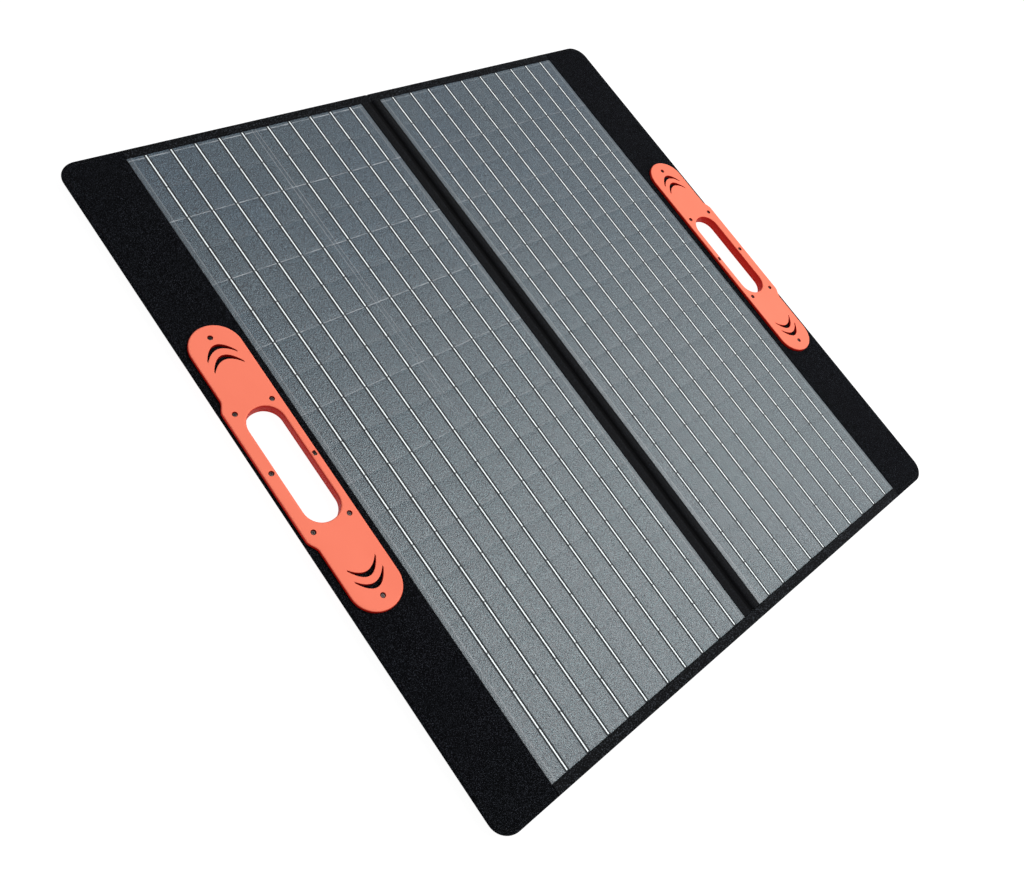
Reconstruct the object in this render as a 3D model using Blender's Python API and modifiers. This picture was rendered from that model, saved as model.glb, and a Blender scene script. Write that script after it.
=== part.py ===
"""Folding solar panel: two cell panels joined by a fabric spine, with carry handles and kickstands.

Units are metres. The open panel lies on its back with the cells up (+Z), the fold line runs
along Y at x = 0, and the origin is under the middle of the panel, on the surface it lies on.
The right half is the fixed body. The left half folds over it about the fold line.
"""

import math

import bmesh
import bpy
from mathutils import Matrix, Vector

COLLECTION = "folding_solar_panel"
GAP = 0.0003

# Cutters run from below every layer to above it, or this far past the face that they open.
CUT_Z = (0.0, 0.030)
CUT_PAST = 0.002

# Outline of one half, measured outward from the fold line.
SPINE_W = 0.031
LAMINATE_W = 0.328
LAMINATE_L = 0.820
BORDER_W = 0.0133
FLAP_W = 0.0767
CORNER_R = 0.023
LAMINATE_IN = SPINE_W / 2
LAMINATE_OUT = LAMINATE_IN + LAMINATE_W
HALF_W = LAMINATE_OUT + FLAP_W
HALF_L = LAMINATE_L / 2 + BORDER_W
LAMINATE_MID = (LAMINATE_IN + LAMINATE_OUT) / 2

# Layers, bottom and top, from the back to the front.
COVER_Z = (0.0110, 0.0118)
BOARD_Z = (0.0121, 0.0134)
BACKSHEET_Z = (0.0137, 0.0141)
CELL_Z = (0.0144, 0.0149)
FILM_Z = (0.01525, 0.0156)
SKIN_Z = (0.0137, 0.0158)
SPINE_BACK_Z = (0.0110, 0.0125)
LEAD_Z = (0.0128, 0.0132)
LEAD_Y = (0.357, 0.363)
LEAD_REACH = 0.027
LEAD_NOTCH_Z = (0.010, 0.015)
LEAD_NOTCH_EDGE = 0.0005
HANDLE_FRONT_Z = (0.0161, 0.0201)
HANDLE_BACK_Z = (0.0064, 0.0107)
FOLD_AXIS_Z = HANDLE_FRONT_Z[1] + 0.0002
BACK_FIXING_Z = COVER_Z[0] - GAP
BOARD_INSET = 0.003
BOARD_IN = LAMINATE_IN + 0.001

# Cells: two strings side by side in each half, with five ribbons on each.
CELL_W = 0.156
CELL_ROWS = 18
RIBBON_COUNT = 5
RIBBON_PITCH = CELL_W / RIBBON_COUNT
RIBBON_W = 0.0012
RIBBON_END = 0.002
RIBBON_Z = (CELL_Z[0] + 0.0002, CELL_Z[1] + 0.00005)
STRING_GAP = 0.005
STRING_L = LAMINATE_L - 0.008
ROW_GROOVE_W = 0.0013
ROW_GROOVE_H = 0.0003
ROW_CUT_PAST = 0.001

# Carry handle, one plate on each face of the flap.
HANDLE_L = 0.360
HANDLE_IN = LAMINATE_OUT + 0.0088
HANDLE_W = 0.0593
HANDLE_OUT = HANDLE_IN + HANDLE_W
HANDLE_MID = HANDLE_IN + HANDLE_W / 2
LIP_OUT = 0.0062
LIP_HALF_L = 0.079
LIP_STEP_L = 0.0155
HANDLE_EDGE = 0.0010
GRIP_L = 0.1435
GRIP_IN = HANDLE_IN + 0.0089
GRIP_W = 0.042
GRIP_R = 0.0205
COLLAR_WALL = 0.0012
VENT_CHORD = 0.035
VENT_SAG = 0.0148
VENT_W = 0.0058
VENT_TIP_W = 0.0018
VENT_FIRST = 0.0398
VENT_PITCH = 0.0140

# Screws: across position, along position.
SCREW_SPOTS = (
    (HANDLE_MID, HANDLE_L / 2 - 0.0154),
    (HANDLE_MID, -(HANDLE_L / 2 - 0.0154)),
    (HANDLE_IN + 0.0098, 0.0743),
    (HANDLE_IN + 0.0098, -0.0743),
    (HANDLE_OUT - 0.0053, 0.0743),
    (HANDLE_OUT - 0.0053, -0.0743),
    (HANDLE_IN + 0.0042, 0.0),
    (HANDLE_OUT - 0.0026, 0.0),
)
SCREW_SHANK_R = 0.0014
SCREW_HEAD_R = 0.0027
SCREW_HEAD_H = 0.0014
SCREW_FLAT_R = 0.0019
SCREW_POINT_R = 0.0008
SCREW_CHAMFER = 0.0006
SCREW_TIP_Z = 0.0080
SHANK_BORE_Z = (SCREW_TIP_Z - GAP, CUT_Z[1])
RECESS_R = SCREW_HEAD_R + GAP
RECESS_DEPTH = 0.0030

# Kickstand on the back of each half.
STAND_W = 0.250
STAND_L = 0.400
STAND_Z = (0.0, 0.0090)
STAND_TOP_Y = 0.130
STAND_R = 0.018
STAND_EDGE = 0.0022
STAND_AXIS_Y = STAND_TOP_Y + 0.0006
STAND_AXIS_Z = 0.0102
TAPE_L = 0.024
TAPE_T = 0.0008
STRAP_W = 0.025
STRAP_L = 0.030
STRAP_REACH = 0.160
PATCH_W = 0.060
PATCH_L = 0.025
PATCH_T = 0.00055
PATCH_REACH = 0.372

# Lead pocket and junction box on the back of the right half.
POCKET_W = 0.220
POCKET_Y = (0.185, 0.365)
POCKET_Z = (0.0030, BACK_FIXING_Z)
POCKET_WALL = 0.0010
POCKET_R = 0.012
POCKET_EDGE = 0.0007
ZIP_L = 0.196
ZIP_W = 0.012
ZIP_Y = POCKET_Y[0] + 0.020
ZIP_TAPE_Z = (0.0021, 0.0027)
TEETH_W = 0.0042
TEETH_INSET = 0.002
TEETH_Z = (0.0015, ZIP_TAPE_Z[0] + 0.0003)
SLIDER_W = 0.0078
SLIDER_L = 0.0105
SLIDER_Z = (0.0005, 0.0012)
SLIDER_START = 0.009
CHEEK_T = 0.0011
CHEEK_Z = (0.0007, ZIP_TAPE_Z[0] - GAP)
PULL_W = 0.0048
PULL_L = 0.022
PULL_START = 0.002
PULL_Z = (0.0002, 0.0009)
BOX_W = 0.100
BOX_L = 0.056
BOX_R = 0.005
BOX_WALL = 0.0015
BOX_BASE_Z = (0.0065, BACK_FIXING_Z)
BOX_LID_Z = (0.0043, 0.0062)
BOX_LID_EDGE = 0.0006
BOX_Y = POCKET_Y[1] - 0.040
GLAND_R = 0.0029
GLAND_NOSE_R = 0.0021
GLAND_NECK_R = 0.0023
GLAND_BORE_R = 0.0016
GLAND_L = 0.013
GLAND_NUT_L = 0.0052
GLAND_STEP_L = 0.0007
GLAND_Z = 0.0075

SIDES = {"right": 1, "left": -1}


def clear_scene():
    for obj in list(bpy.data.objects):
        bpy.data.objects.remove(obj, do_unlink=True)


def make_collection(name):
    collection = bpy.data.collections.new(name)
    bpy.context.scene.collection.children.link(collection)
    return collection


def make_material(name, color, roughness, metallic=0.0):
    material = bpy.data.materials.new(name)
    material.use_nodes = True
    shader = material.node_tree.nodes["Principled BSDF"]
    shader.inputs["Base Color"].default_value = (*color, 1.0)
    shader.inputs["Roughness"].default_value = roughness
    shader.inputs["Metallic"].default_value = metallic
    return material


def paint(obj, color, roughness, metallic=0.0):
    """Give the object a Principled material of its own, named after it."""
    obj.data.materials.clear()
    obj.data.materials.append(make_material(obj.name, color, roughness, metallic))


def paint_fabric(obj):
    paint(obj, (0.012, 0.013, 0.015), 0.85)


def paint_handle(obj):
    paint(obj, (0.90, 0.11, 0.05), 0.42)


def paint_film(obj):
    paint(obj, (0.16, 0.19, 0.21), 0.5)


def paint_cell(obj):
    paint(obj, (0.02, 0.03, 0.06), 0.3)


def paint_board(obj):
    paint(obj, (0.30, 0.30, 0.28), 0.6)


def paint_steel(obj):
    paint(obj, (0.35, 0.35, 0.36), 0.35, 1.0)


def paint_copper(obj):
    paint(obj, (0.75, 0.42, 0.25), 0.35, 1.0)


def paint_black_plastic(obj):
    paint(obj, (0.02, 0.02, 0.02), 0.5)


def add_empty(name, location, parent=None):
    """An empty at a world position. Every empty in the chain is unrotated."""
    empty = bpy.data.objects.new(name, None)
    empty.empty_display_size = 0.03
    empty["world"] = list(location)
    parts.objects.link(empty)
    settle(empty, parent, location)
    return empty


def settle(obj, parent, location):
    """Place an object at a world position under its parent empty."""
    origin = Vector(parent["world"]) if parent else Vector()
    obj.parent = parent
    obj.location = Vector(location) - origin


def add_mesh(name, mesh, parent, location):
    obj = bpy.data.objects.new(name, mesh)
    parts.objects.link(obj)
    settle(obj, parent, location)
    return obj


def make_cutter(obj):
    """Move an object to the cutters, where it only shapes other objects."""
    parts.objects.unlink(obj)
    cutters.objects.link(obj)
    obj.display_type = "WIRE"
    obj.hide_render = True
    return obj


def mesh_from(bm, name):
    mesh = bpy.data.meshes.new(name)
    bmesh.ops.recalc_face_normals(bm, faces=bm.faces)
    bm.to_mesh(mesh)
    bm.free()
    return mesh


def add_box(name, xs, ys, zs, parent):
    """A box between the given pairs of world coordinates."""
    return add_box_row(name, [(xs, ys, zs)], parent)


def add_box_row(name, boxes, parent):
    """Separate boxes in one mesh, with its origin at the middle of the first."""
    middle = Vector([sum(pair) / 2 for pair in boxes[0]])
    bm = bmesh.new()
    for box in boxes:
        centre = Vector([sum(pair) / 2 for pair in box])
        size = [abs(pair[1] - pair[0]) for pair in box]
        matrix = Matrix.Translation(centre - middle) @ Matrix.Diagonal((*size, 1.0))
        bmesh.ops.create_cube(bm, size=1.0, matrix=matrix)
    return add_mesh(name, mesh_from(bm, name), parent, middle)


def add_rods(name, spots, radius, zs, parent, segments=12):
    """Upright cylinders of one radius at the given (x, y) spots, in one mesh."""
    bm = bmesh.new()
    height = max(zs) - min(zs)
    middle = sum(zs) / 2
    for x, y in spots:
        bmesh.ops.create_cone(
            bm, cap_ends=True, segments=segments, radius1=radius, radius2=radius,
            depth=height, matrix=Matrix.Translation((x, y, middle)),
        )
    return add_mesh(name, mesh_from(bm, name), parent, (0, 0, 0))


def add_plate(name, outline, zs, parent, holes=()):
    """A flat plate with the given outline and holes, both as lists of (x, y)."""
    curve = bpy.data.curves.new(name, "CURVE")
    curve.dimensions = "2D"
    curve.fill_mode = "BOTH"
    curve.extrude = (max(zs) - min(zs)) / 2
    for loop in (outline, *holes):
        spline = curve.splines.new("POLY")
        spline.points.add(len(loop) - 1)
        for point, (x, y) in zip(spline.points, loop):
            point.co = (x, y, 0.0, 1.0)
        spline.use_cyclic_u = True
    flat = bpy.data.objects.new(name + "_outline", curve)
    parts.objects.link(flat)
    depsgraph = bpy.context.evaluated_depsgraph_get()
    mesh = bpy.data.meshes.new_from_object(flat.evaluated_get(depsgraph))
    bpy.data.objects.remove(flat, do_unlink=True)
    bm = bmesh.new()
    bm.from_mesh(mesh)
    bpy.data.meshes.remove(mesh)
    bmesh.ops.remove_doubles(bm, verts=bm.verts, dist=0.00002)
    return add_mesh(name, mesh_from(bm, name), parent, (0, 0, sum(zs) / 2))


def boolean(obj, other, operation="DIFFERENCE"):
    modifier = obj.modifiers.new(operation.lower(), "BOOLEAN")
    modifier.operation = operation
    modifier.solver = "EXACT"
    modifier.object = other


def bevel(obj, width, segments=1, angle=50):
    modifier = obj.modifiers.new("bevel", "BEVEL")
    modifier.width = width
    modifier.segments = segments
    modifier.limit_method = "ANGLE"
    modifier.angle_limit = math.radians(angle)


def shade_round(obj, angle=40):
    obj.data.shade_smooth()
    obj.data.set_sharp_from_angle(angle=math.radians(angle))


def arc(cx, cy, radius, start, end, steps):
    """Points on an arc, with angles in degrees."""
    angles = [math.radians(start + (end - start) * i / steps) for i in range(steps + 1)]
    return [(cx + radius * math.cos(a), cy + radius * math.sin(a)) for a in angles]


def rounded_rectangle(xs, ys, radius, steps=5):
    """A rectangle with four round corners."""
    x0, x1, y0, y1 = min(xs) + radius, max(xs) - radius, min(ys) + radius, max(ys) - radius
    points = arc(x1, y1, radius, 0, 90, steps)
    points += arc(x0, y1, radius, 90, 180, steps)
    points += arc(x0, y0, radius, 180, 270, steps)
    points += arc(x1, y0, radius, 270, 360, steps)
    return points


def outer_corners_rounded(x_in, x_out, half_l, radius, steps=6):
    """A rectangle whose two corners away from the fold line are round."""
    points = [(x_in, -half_l)]
    points += arc(x_out - radius, -half_l + radius, radius, -90, 0, steps)
    points += arc(x_out - radius, half_l - radius, radius, 0, 90, steps)
    points += [(x_in, half_l)]
    return points


def on_side(points, side):
    """Mirror an outline of the right half to the given side of the fold line."""
    return [(side * x, y) for x, y in points]


def ease(t):
    return t * t * (3 - 2 * t)


def handle_outline(steps=10, lip_steps=5):
    """Long plate with half-round ends, and a lip on its outer edge beside the grip."""
    radius = HANDLE_W / 2
    end_y = HANDLE_L / 2 - radius
    lip_start = LIP_HALF_L + LIP_STEP_L
    points = arc(HANDLE_MID, -end_y, radius, -180, 0, steps)
    rise = [i / lip_steps for i in range(lip_steps + 1)]
    points += [(HANDLE_OUT + LIP_OUT * ease(t), -lip_start + LIP_STEP_L * t) for t in rise]
    points += [(HANDLE_OUT + LIP_OUT * ease(1 - t), LIP_HALF_L + LIP_STEP_L * t) for t in rise]
    points += arc(HANDLE_MID, end_y, radius, 0, 180, steps)
    return points


def grip_outline(grow=0.0, steps=6):
    """The finger hole, or the same shape grown outward."""
    return rounded_rectangle(
        (GRIP_IN - grow, GRIP_IN + GRIP_W + grow),
        (-GRIP_L / 2 - grow, GRIP_L / 2 + grow),
        GRIP_R + grow,
        steps,
    )


def crescent(index, end, steps=6):
    """One crescent cut-out, bulging towards the handle's end (+1 or -1 along Y)."""
    tip_y = HANDLE_L / 2 - VENT_FIRST - VENT_PITCH * index
    outer, inner = [], []
    for i in range(steps + 1):
        u = i / steps * 2 - 1
        x = HANDLE_MID + VENT_CHORD / 2 * u
        y = tip_y + VENT_SAG * (1 - u * u)
        outer.append((x, end * y))
        inner.append((x, end * (y - VENT_TIP_W - (VENT_W - VENT_TIP_W) * (1 - u * u))))
    return outer + inner[::-1]


def cut_grip_and_screws(obj, side_name, grow):
    """Open a flap layer for the grip collar and the screw shanks."""
    boolean(obj, grip_cutters[side_name, grow])
    boolean(obj, shank_cutters[side_name])


def build_cutters(side_name, parent):
    side = SIDES[side_name]
    spots = on_side(SCREW_SPOTS, side)
    for grow in (0.0, COLLAR_WALL + GAP):
        outline = on_side(grip_outline(grow), side)
        label = f"{side_name}_grip_cutter_{round(grow * 10000)}"
        grip_cutters[side_name, grow] = make_cutter(add_plate(label, outline, CUT_Z, parent))
    shank_r = SCREW_SHANK_R + GAP
    shank_cutters[side_name] = make_cutter(
        add_rods(side_name + "_shank_cutter", spots, shank_r, SHANK_BORE_Z, parent, 8))
    recess_z = (HANDLE_FRONT_Z[1] - RECESS_DEPTH, CUT_Z[1])
    recess_cutters[side_name] = make_cutter(
        add_rods(side_name + "_recess_cutter", spots, RECESS_R, recess_z, parent))


def build_flap_layers(side_name, parent):
    """Back cover, stiffener board and front flap skin, all open at the grip."""
    side = SIDES[side_name]
    hole_grow = COLLAR_WALL + GAP

    outline = outer_corners_rounded(LAMINATE_IN + GAP / 2, HALF_W, HALF_L, CORNER_R)
    cover = add_plate(side_name + "_back_cover", on_side(outline, side), COVER_Z, parent)
    cut_grip_and_screws(cover, side_name, hole_grow)
    paint_fabric(cover)

    outline = outer_corners_rounded(
        BOARD_IN, HALF_W - BOARD_INSET, HALF_L - BOARD_INSET, CORNER_R - BOARD_INSET)
    board = add_plate(side_name + "_stiffener_board", on_side(outline, side), BOARD_Z, parent)
    cut_grip_and_screws(board, side_name, hole_grow)
    boolean(board, lead_cutters[side_name])
    paint_board(board)

    outline = outer_corners_rounded(LAMINATE_OUT + GAP, HALF_W, HALF_L, CORNER_R)
    skin = add_plate(side_name + "_side_flap", on_side(outline, side), SKIN_Z, parent)
    cut_grip_and_screws(skin, side_name, hole_grow)
    paint_fabric(skin)


def build_cell_string(name, x_mid, parent):
    """One column of cells held edge to edge in their encapsulant, with its five ribbons."""
    x_low = x_mid - CELL_W / 2
    string = add_box(
        name, (x_low, x_low + CELL_W), (-STRING_L / 2, STRING_L / 2), CELL_Z, parent)
    ribbons = []
    for i in range(RIBBON_COUNT):
        x = x_low + RIBBON_PITCH * (i + 0.5)
        xs = (x - RIBBON_W / 2, x + RIBBON_W / 2)
        ys = (-STRING_L / 2 - RIBBON_END, STRING_L / 2 + RIBBON_END)
        ribbons.append((xs, ys, RIBBON_Z))
    boolean(string, make_cutter(add_box_row(name + "_ribbons", ribbons, parent)), "UNION")
    # Grooves in the back part the rows. They are shallower than the string is thick.
    grooves = []
    for row in range(1, CELL_ROWS):
        y = STRING_L * (row / CELL_ROWS - 0.5)
        ys = (y - ROW_GROOVE_W / 2, y + ROW_GROOVE_W / 2)
        xs = (x_low - ROW_CUT_PAST, x_low + CELL_W + ROW_CUT_PAST)
        grooves.append((xs, ys, (CELL_Z[0] - ROW_CUT_PAST, CELL_Z[0] + ROW_GROOVE_H)))
    boolean(string, make_cutter(add_box_row(name + "_row_grooves", grooves, parent)))
    paint_cell(string)


def build_laminate(side_name, parent):
    """Backsheet, two cell strings and the front film."""
    side = SIDES[side_name]
    xs = (side * (LAMINATE_IN + GAP / 2), side * (LAMINATE_OUT - GAP / 2))
    ys = (-LAMINATE_L / 2, LAMINATE_L / 2)
    backsheet = add_box(side_name + "_backsheet", xs, ys, BACKSHEET_Z, parent)
    paint_board(backsheet)
    offset = (CELL_W + STRING_GAP) / 2
    build_cell_string(side_name + "_cell_string_inner", side * (LAMINATE_MID - offset), parent)
    build_cell_string(side_name + "_cell_string_outer", side * (LAMINATE_MID + offset), parent)
    film = add_box(side_name + "_front_film", xs, ys, FILM_Z, parent)
    paint_film(film)


def build_borders(side_name, parent):
    """Bound edges above and below the laminate."""
    side = SIDES[side_name]
    xs = (side * (LAMINATE_IN + GAP / 2), side * LAMINATE_OUT)
    for label, end in (("top", 1), ("bottom", -1)):
        ys = (end * (LAMINATE_L / 2 + GAP), end * HALF_L)
        paint_fabric(add_box(f"{side_name}_border_{label}", xs, ys, SKIN_Z, parent))


def build_spine(side_name, parent):
    """This half's share of the fabric spine, front and back, and the lead between them."""
    side = SIDES[side_name]
    xs = (side * GAP / 2, side * (LAMINATE_IN - GAP / 2))
    ys = (-HALF_L, HALF_L)
    paint_fabric(add_box(side_name + "_spine_front", xs, ys, SKIN_Z, parent))
    paint_fabric(add_box(side_name + "_spine_back", xs, ys, SPINE_BACK_Z, parent))
    lead_xs = (side * GAP / 2, side * LEAD_REACH)
    paint_copper(add_box(side_name + "_bus_lead", lead_xs, LEAD_Y, LEAD_Z, parent))


def build_lead_cutter(side_name, parent):
    """Notch in the stiffener board where the bus lead comes in."""
    side = SIDES[side_name]
    xs = (0, side * (LEAD_REACH + LEAD_NOTCH_EDGE))
    ys = (LEAD_Y[0] - LEAD_NOTCH_EDGE, LEAD_Y[1] + LEAD_NOTCH_EDGE)
    box = add_box(side_name + "_lead_cutter", xs, ys, LEAD_NOTCH_Z, parent)
    lead_cutters[side_name] = make_cutter(box)


def build_handle(side_name, parent):
    """Front and back handle plates. The front one has a collar that lines the grip."""
    side = SIDES[side_name]
    outline = on_side(handle_outline(), side)
    vents = [on_side(crescent(i, end), side) for i in (0, 1) for end in (1, -1)]

    front = add_plate(side_name + "_handle_front", outline, HANDLE_FRONT_Z, parent)
    bevel(front, HANDLE_EDGE)
    collar_z = (COVER_Z[0], HANDLE_FRONT_Z[0] + CUT_PAST)
    collar = add_plate(
        side_name + "_collar", on_side(grip_outline(COLLAR_WALL), side), collar_z, parent)
    boolean(front, make_cutter(collar), "UNION")
    boolean(front, grip_cutters[side_name, 0.0])
    boolean(front, recess_cutters[side_name])
    boolean(front, shank_cutters[side_name])

    back = add_plate(side_name + "_handle_back", outline, HANDLE_BACK_Z, parent)
    bevel(back, HANDLE_EDGE)
    boolean(back, grip_cutters[side_name, 0.0])
    boolean(back, shank_cutters[side_name])

    for i, vent in enumerate(vents):
        cutter = make_cutter(add_plate(f"{side_name}_vent_cutter_{i}", vent, CUT_Z, parent))
        boolean(front, cutter)
        boolean(back, cutter)
    for plate in (front, back):
        shade_round(plate)
        paint_handle(plate)


def build_screws(side_name, parent):
    """Pan-head screws that clamp the two handle plates through the flap."""
    side = SIDES[side_name]
    head_low = HANDLE_FRONT_Z[1] - RECESS_DEPTH + GAP
    head_high = head_low + SCREW_HEAD_H
    for number, (x, y) in enumerate(SCREW_SPOTS, 1):
        name = f"{side_name}_handle_screw_{number}"
        profile = (
            (SCREW_FLAT_R, head_high),
            (SCREW_HEAD_R, head_high - SCREW_CHAMFER),
            (SCREW_HEAD_R, head_low),
            (SCREW_SHANK_R, head_low),
            (SCREW_SHANK_R, SCREW_TIP_Z + SCREW_CHAMFER),
            (SCREW_POINT_R, SCREW_TIP_Z),
        )
        screw = add_turned(name, profile, (side * x, y, 0.0), parent, 8)
        paint_steel(screw)


def add_turned(name, profile, location, parent, steps):
    """Turn a profile of (radius, height) points, top to bottom, about the vertical axis."""
    bm = bmesh.new()
    top = bm.verts.new((0, 0, profile[0][1]))
    chain = [top] + [bm.verts.new((r, 0, z)) for r, z in profile]
    chain.append(bm.verts.new((0, 0, profile[-1][1])))
    for start, end in zip(chain, chain[1:]):
        bm.edges.new((start, end))
    mesh = bpy.data.meshes.new(name)
    bm.to_mesh(mesh)
    bm.free()
    obj = add_mesh(name, mesh, parent, location)
    add_screw_modifier(obj, steps)
    return obj


def add_screw_modifier(obj, steps):
    modifier = obj.modifiers.new("turn", "SCREW")
    modifier.axis = "Z"
    modifier.steps = steps
    modifier.render_steps = steps
    modifier.use_merge_vertices = True
    modifier.merge_threshold = 0.00001
    modifier.use_smooth_shade = True


def build_stand(side_name, half, stand):
    """Padded kickstand board, and the tape, strap and patches that hold it."""
    side = SIDES[side_name]
    mid = side * LAMINATE_MID
    xs = (mid - STAND_W / 2, mid + STAND_W / 2)
    outline = rounded_rectangle(xs, (STAND_TOP_Y - STAND_L, STAND_TOP_Y), STAND_R, 4)
    board = add_plate(side_name + "_stand_board", outline, STAND_Z, stand)
    bevel(board, STAND_EDGE)
    shade_round(board)
    paint_fabric(board)

    tape_ys = (STAND_AXIS_Y + GAP, STAND_AXIS_Y + TAPE_L)
    tape_zs = (BACK_FIXING_Z - TAPE_T, BACK_FIXING_Z)
    paint_fabric(add_box(side_name + "_stand_hinge_tape", xs, tape_ys, tape_zs, half))

    strap_xs = (mid - STRAP_W / 2, mid + STRAP_W / 2)
    strap_y = STAND_AXIS_Y - STRAP_REACH
    strap_ys = (strap_y - STRAP_L / 2, strap_y + STRAP_L / 2)
    strap_zs = (STAND_Z[1] + GAP, BACK_FIXING_Z)
    paint_fabric(add_box(side_name + "_stand_strap", strap_xs, strap_ys, strap_zs, half))

    patch_xs = (mid - PATCH_W / 2, mid + PATCH_W / 2)
    patch_y = STAND_AXIS_Y - PATCH_REACH
    patch_ys = (patch_y - PATCH_L / 2, patch_y + PATCH_L / 2)
    hook_zs = (BACK_FIXING_Z - PATCH_T, BACK_FIXING_Z)
    loop_zs = (STAND_Z[1] + GAP, STAND_Z[1] + GAP + PATCH_T)
    paint_fabric(add_box(side_name + "_hook_patch", patch_xs, patch_ys, hook_zs, half))
    paint_fabric(add_box(side_name + "_loop_patch", patch_xs, patch_ys, loop_zs, stand))


def build_pocket(half, slider):
    """Zipped pocket on the back of the right half."""
    xs = (LAMINATE_MID - POCKET_W / 2, LAMINATE_MID + POCKET_W / 2)
    pouch = add_plate("pocket_pouch", rounded_rectangle(xs, POCKET_Y, POCKET_R, 4), POCKET_Z, half)
    bevel(pouch, POCKET_EDGE)
    inner_xs = (xs[0] + POCKET_WALL, xs[1] - POCKET_WALL)
    inner_ys = (POCKET_Y[0] + POCKET_WALL, POCKET_Y[1] - POCKET_WALL)
    inner = rounded_rectangle(inner_xs, inner_ys, POCKET_R - POCKET_WALL, 4)
    inner_zs = (POCKET_Z[0] + POCKET_WALL, POCKET_Z[1] + CUT_PAST)
    boolean(pouch, make_cutter(add_plate("pocket_cutter", inner, inner_zs, half)))
    paint_fabric(pouch)

    zip_xs = (LAMINATE_MID - ZIP_L / 2, LAMINATE_MID + ZIP_L / 2)
    zip_ys = (ZIP_Y - ZIP_W / 2, ZIP_Y + ZIP_W / 2)
    tape = add_box("pocket_zip", zip_xs, zip_ys, ZIP_TAPE_Z, half)
    teeth_ys = (ZIP_Y - TEETH_W / 2, ZIP_Y + TEETH_W / 2)
    teeth_xs = (zip_xs[0] + TEETH_INSET, zip_xs[1] - TEETH_INSET)
    teeth = add_box("zip_teeth", teeth_xs, teeth_ys, TEETH_Z, half)
    boolean(tape, make_cutter(teeth), "UNION")
    paint_black_plastic(tape)

    x = slider["world"][0]
    slider_xs = (x - SLIDER_L / 2, x + SLIDER_L / 2)
    slider_ys = (ZIP_Y - SLIDER_W / 2, ZIP_Y + SLIDER_W / 2)
    body = add_box("zip_slider", slider_xs, slider_ys, SLIDER_Z, slider)
    cheeks = []
    for end in (1, -1):
        outer = ZIP_Y + end * SLIDER_W / 2
        cheeks.append((slider_xs, (outer, outer - end * CHEEK_T), CHEEK_Z))
    pull_xs = (x + PULL_START, x + PULL_START + PULL_L)
    pull_ys = (ZIP_Y - PULL_W / 2, ZIP_Y + PULL_W / 2)
    joined = cheeks + [(pull_xs, pull_ys, PULL_Z)]
    boolean(body, make_cutter(add_box_row("slider_cheeks_and_pull", joined, slider)), "UNION")
    paint_steel(body)


def build_junction_box(half):
    """Low box glued to the back, with a screwed-on lid and a gland for the output lead."""
    xs = (LAMINATE_MID - BOX_W / 2, LAMINATE_MID + BOX_W / 2)
    ys = (BOX_Y - BOX_L / 2, BOX_Y + BOX_L / 2)
    outline = rounded_rectangle(xs, ys, BOX_R, 3)
    base = add_plate("junction_box_base", outline, BOX_BASE_Z, half)
    hollow_xs = (xs[0] + BOX_WALL, xs[1] - BOX_WALL)
    hollow_ys = (ys[0] + BOX_WALL, ys[1] - BOX_WALL)
    hollow_zs = (BOX_BASE_Z[0] - CUT_PAST, BOX_BASE_Z[1] - BOX_WALL)
    hollow = add_box("junction_box_hollow", hollow_xs, hollow_ys, hollow_zs, half)
    boolean(base, make_cutter(hollow))
    paint_black_plastic(base)

    lid = add_plate("junction_box_lid", outline, BOX_LID_Z, half)
    bevel(lid, BOX_LID_EDGE)
    paint_black_plastic(lid)

    profile = (
        (GLAND_NOSE_R, 0.0),
        (GLAND_NECK_R, GLAND_NUT_L + GLAND_STEP_L - GLAND_L),
        (GLAND_R, GLAND_NUT_L - GLAND_L),
        (GLAND_R, -GLAND_L),
    )
    gland = add_tube("output_gland", profile, GLAND_BORE_R, half)
    gland.location = Vector((LAMINATE_MID, ys[0] - GAP - GLAND_L, GLAND_Z)) - Vector(half["world"])
    gland.rotation_euler = (math.radians(90), 0, 0)
    paint_black_plastic(gland)


def add_tube(name, profile, bore, parent):
    """A turned profile with a straight bore through it."""
    bm = bmesh.new()
    loop = [bm.verts.new((r, 0, z)) for r, z in profile]
    loop += [bm.verts.new((bore, 0, profile[-1][1])), bm.verts.new((bore, 0, profile[0][1]))]
    for start, end in zip(loop, loop[1:] + loop[:1]):
        bm.edges.new((start, end))
    mesh = bpy.data.meshes.new(name)
    bm.to_mesh(mesh)
    bm.free()
    obj = add_mesh(name, mesh, parent, (0, 0, 0))
    add_screw_modifier(obj, 12)
    return obj


def build_half(side_name, half, stand):
    build_lead_cutter(side_name, half)
    build_cutters(side_name, half)
    build_flap_layers(side_name, half)
    build_laminate(side_name, half)
    build_borders(side_name, half)
    build_spine(side_name, half)
    build_handle(side_name, half)
    build_screws(side_name, half)
    build_stand(side_name, half, stand)


clear_scene()
parts = make_collection(COLLECTION)
cutters = make_collection("cutters")
grip_cutters = {}
shank_cutters = {}
recess_cutters = {}
lead_cutters = {}

right_half = add_empty("right_half_axis", (0, 0, 0))
left_half = add_empty("fold_axis", (0, 0, FOLD_AXIS_Z), right_half)
right_stand = add_empty(
    "right_stand_axis", (LAMINATE_MID, STAND_AXIS_Y, STAND_AXIS_Z), right_half)
left_stand = add_empty(
    "left_stand_axis", (-LAMINATE_MID, STAND_AXIS_Y, STAND_AXIS_Z), left_half)
zip_start = add_empty(
    "zip_slide_axis", (LAMINATE_MID - ZIP_L / 2 + SLIDER_START, ZIP_Y, SLIDER_Z[0]), right_half)

build_half("right", right_half, right_stand)
build_half("left", left_half, left_stand)
build_pocket(right_half, zip_start)
build_junction_box(right_half)
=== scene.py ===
"""The looks of a folding solar panel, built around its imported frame.

Metres, +Z up. The open panel lies on its back with the cells up, and the fold line runs along Y
at x = 0. A half's pieces are drawn on the +X side and mirrored for the left half.
"""

import math
import random

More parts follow.
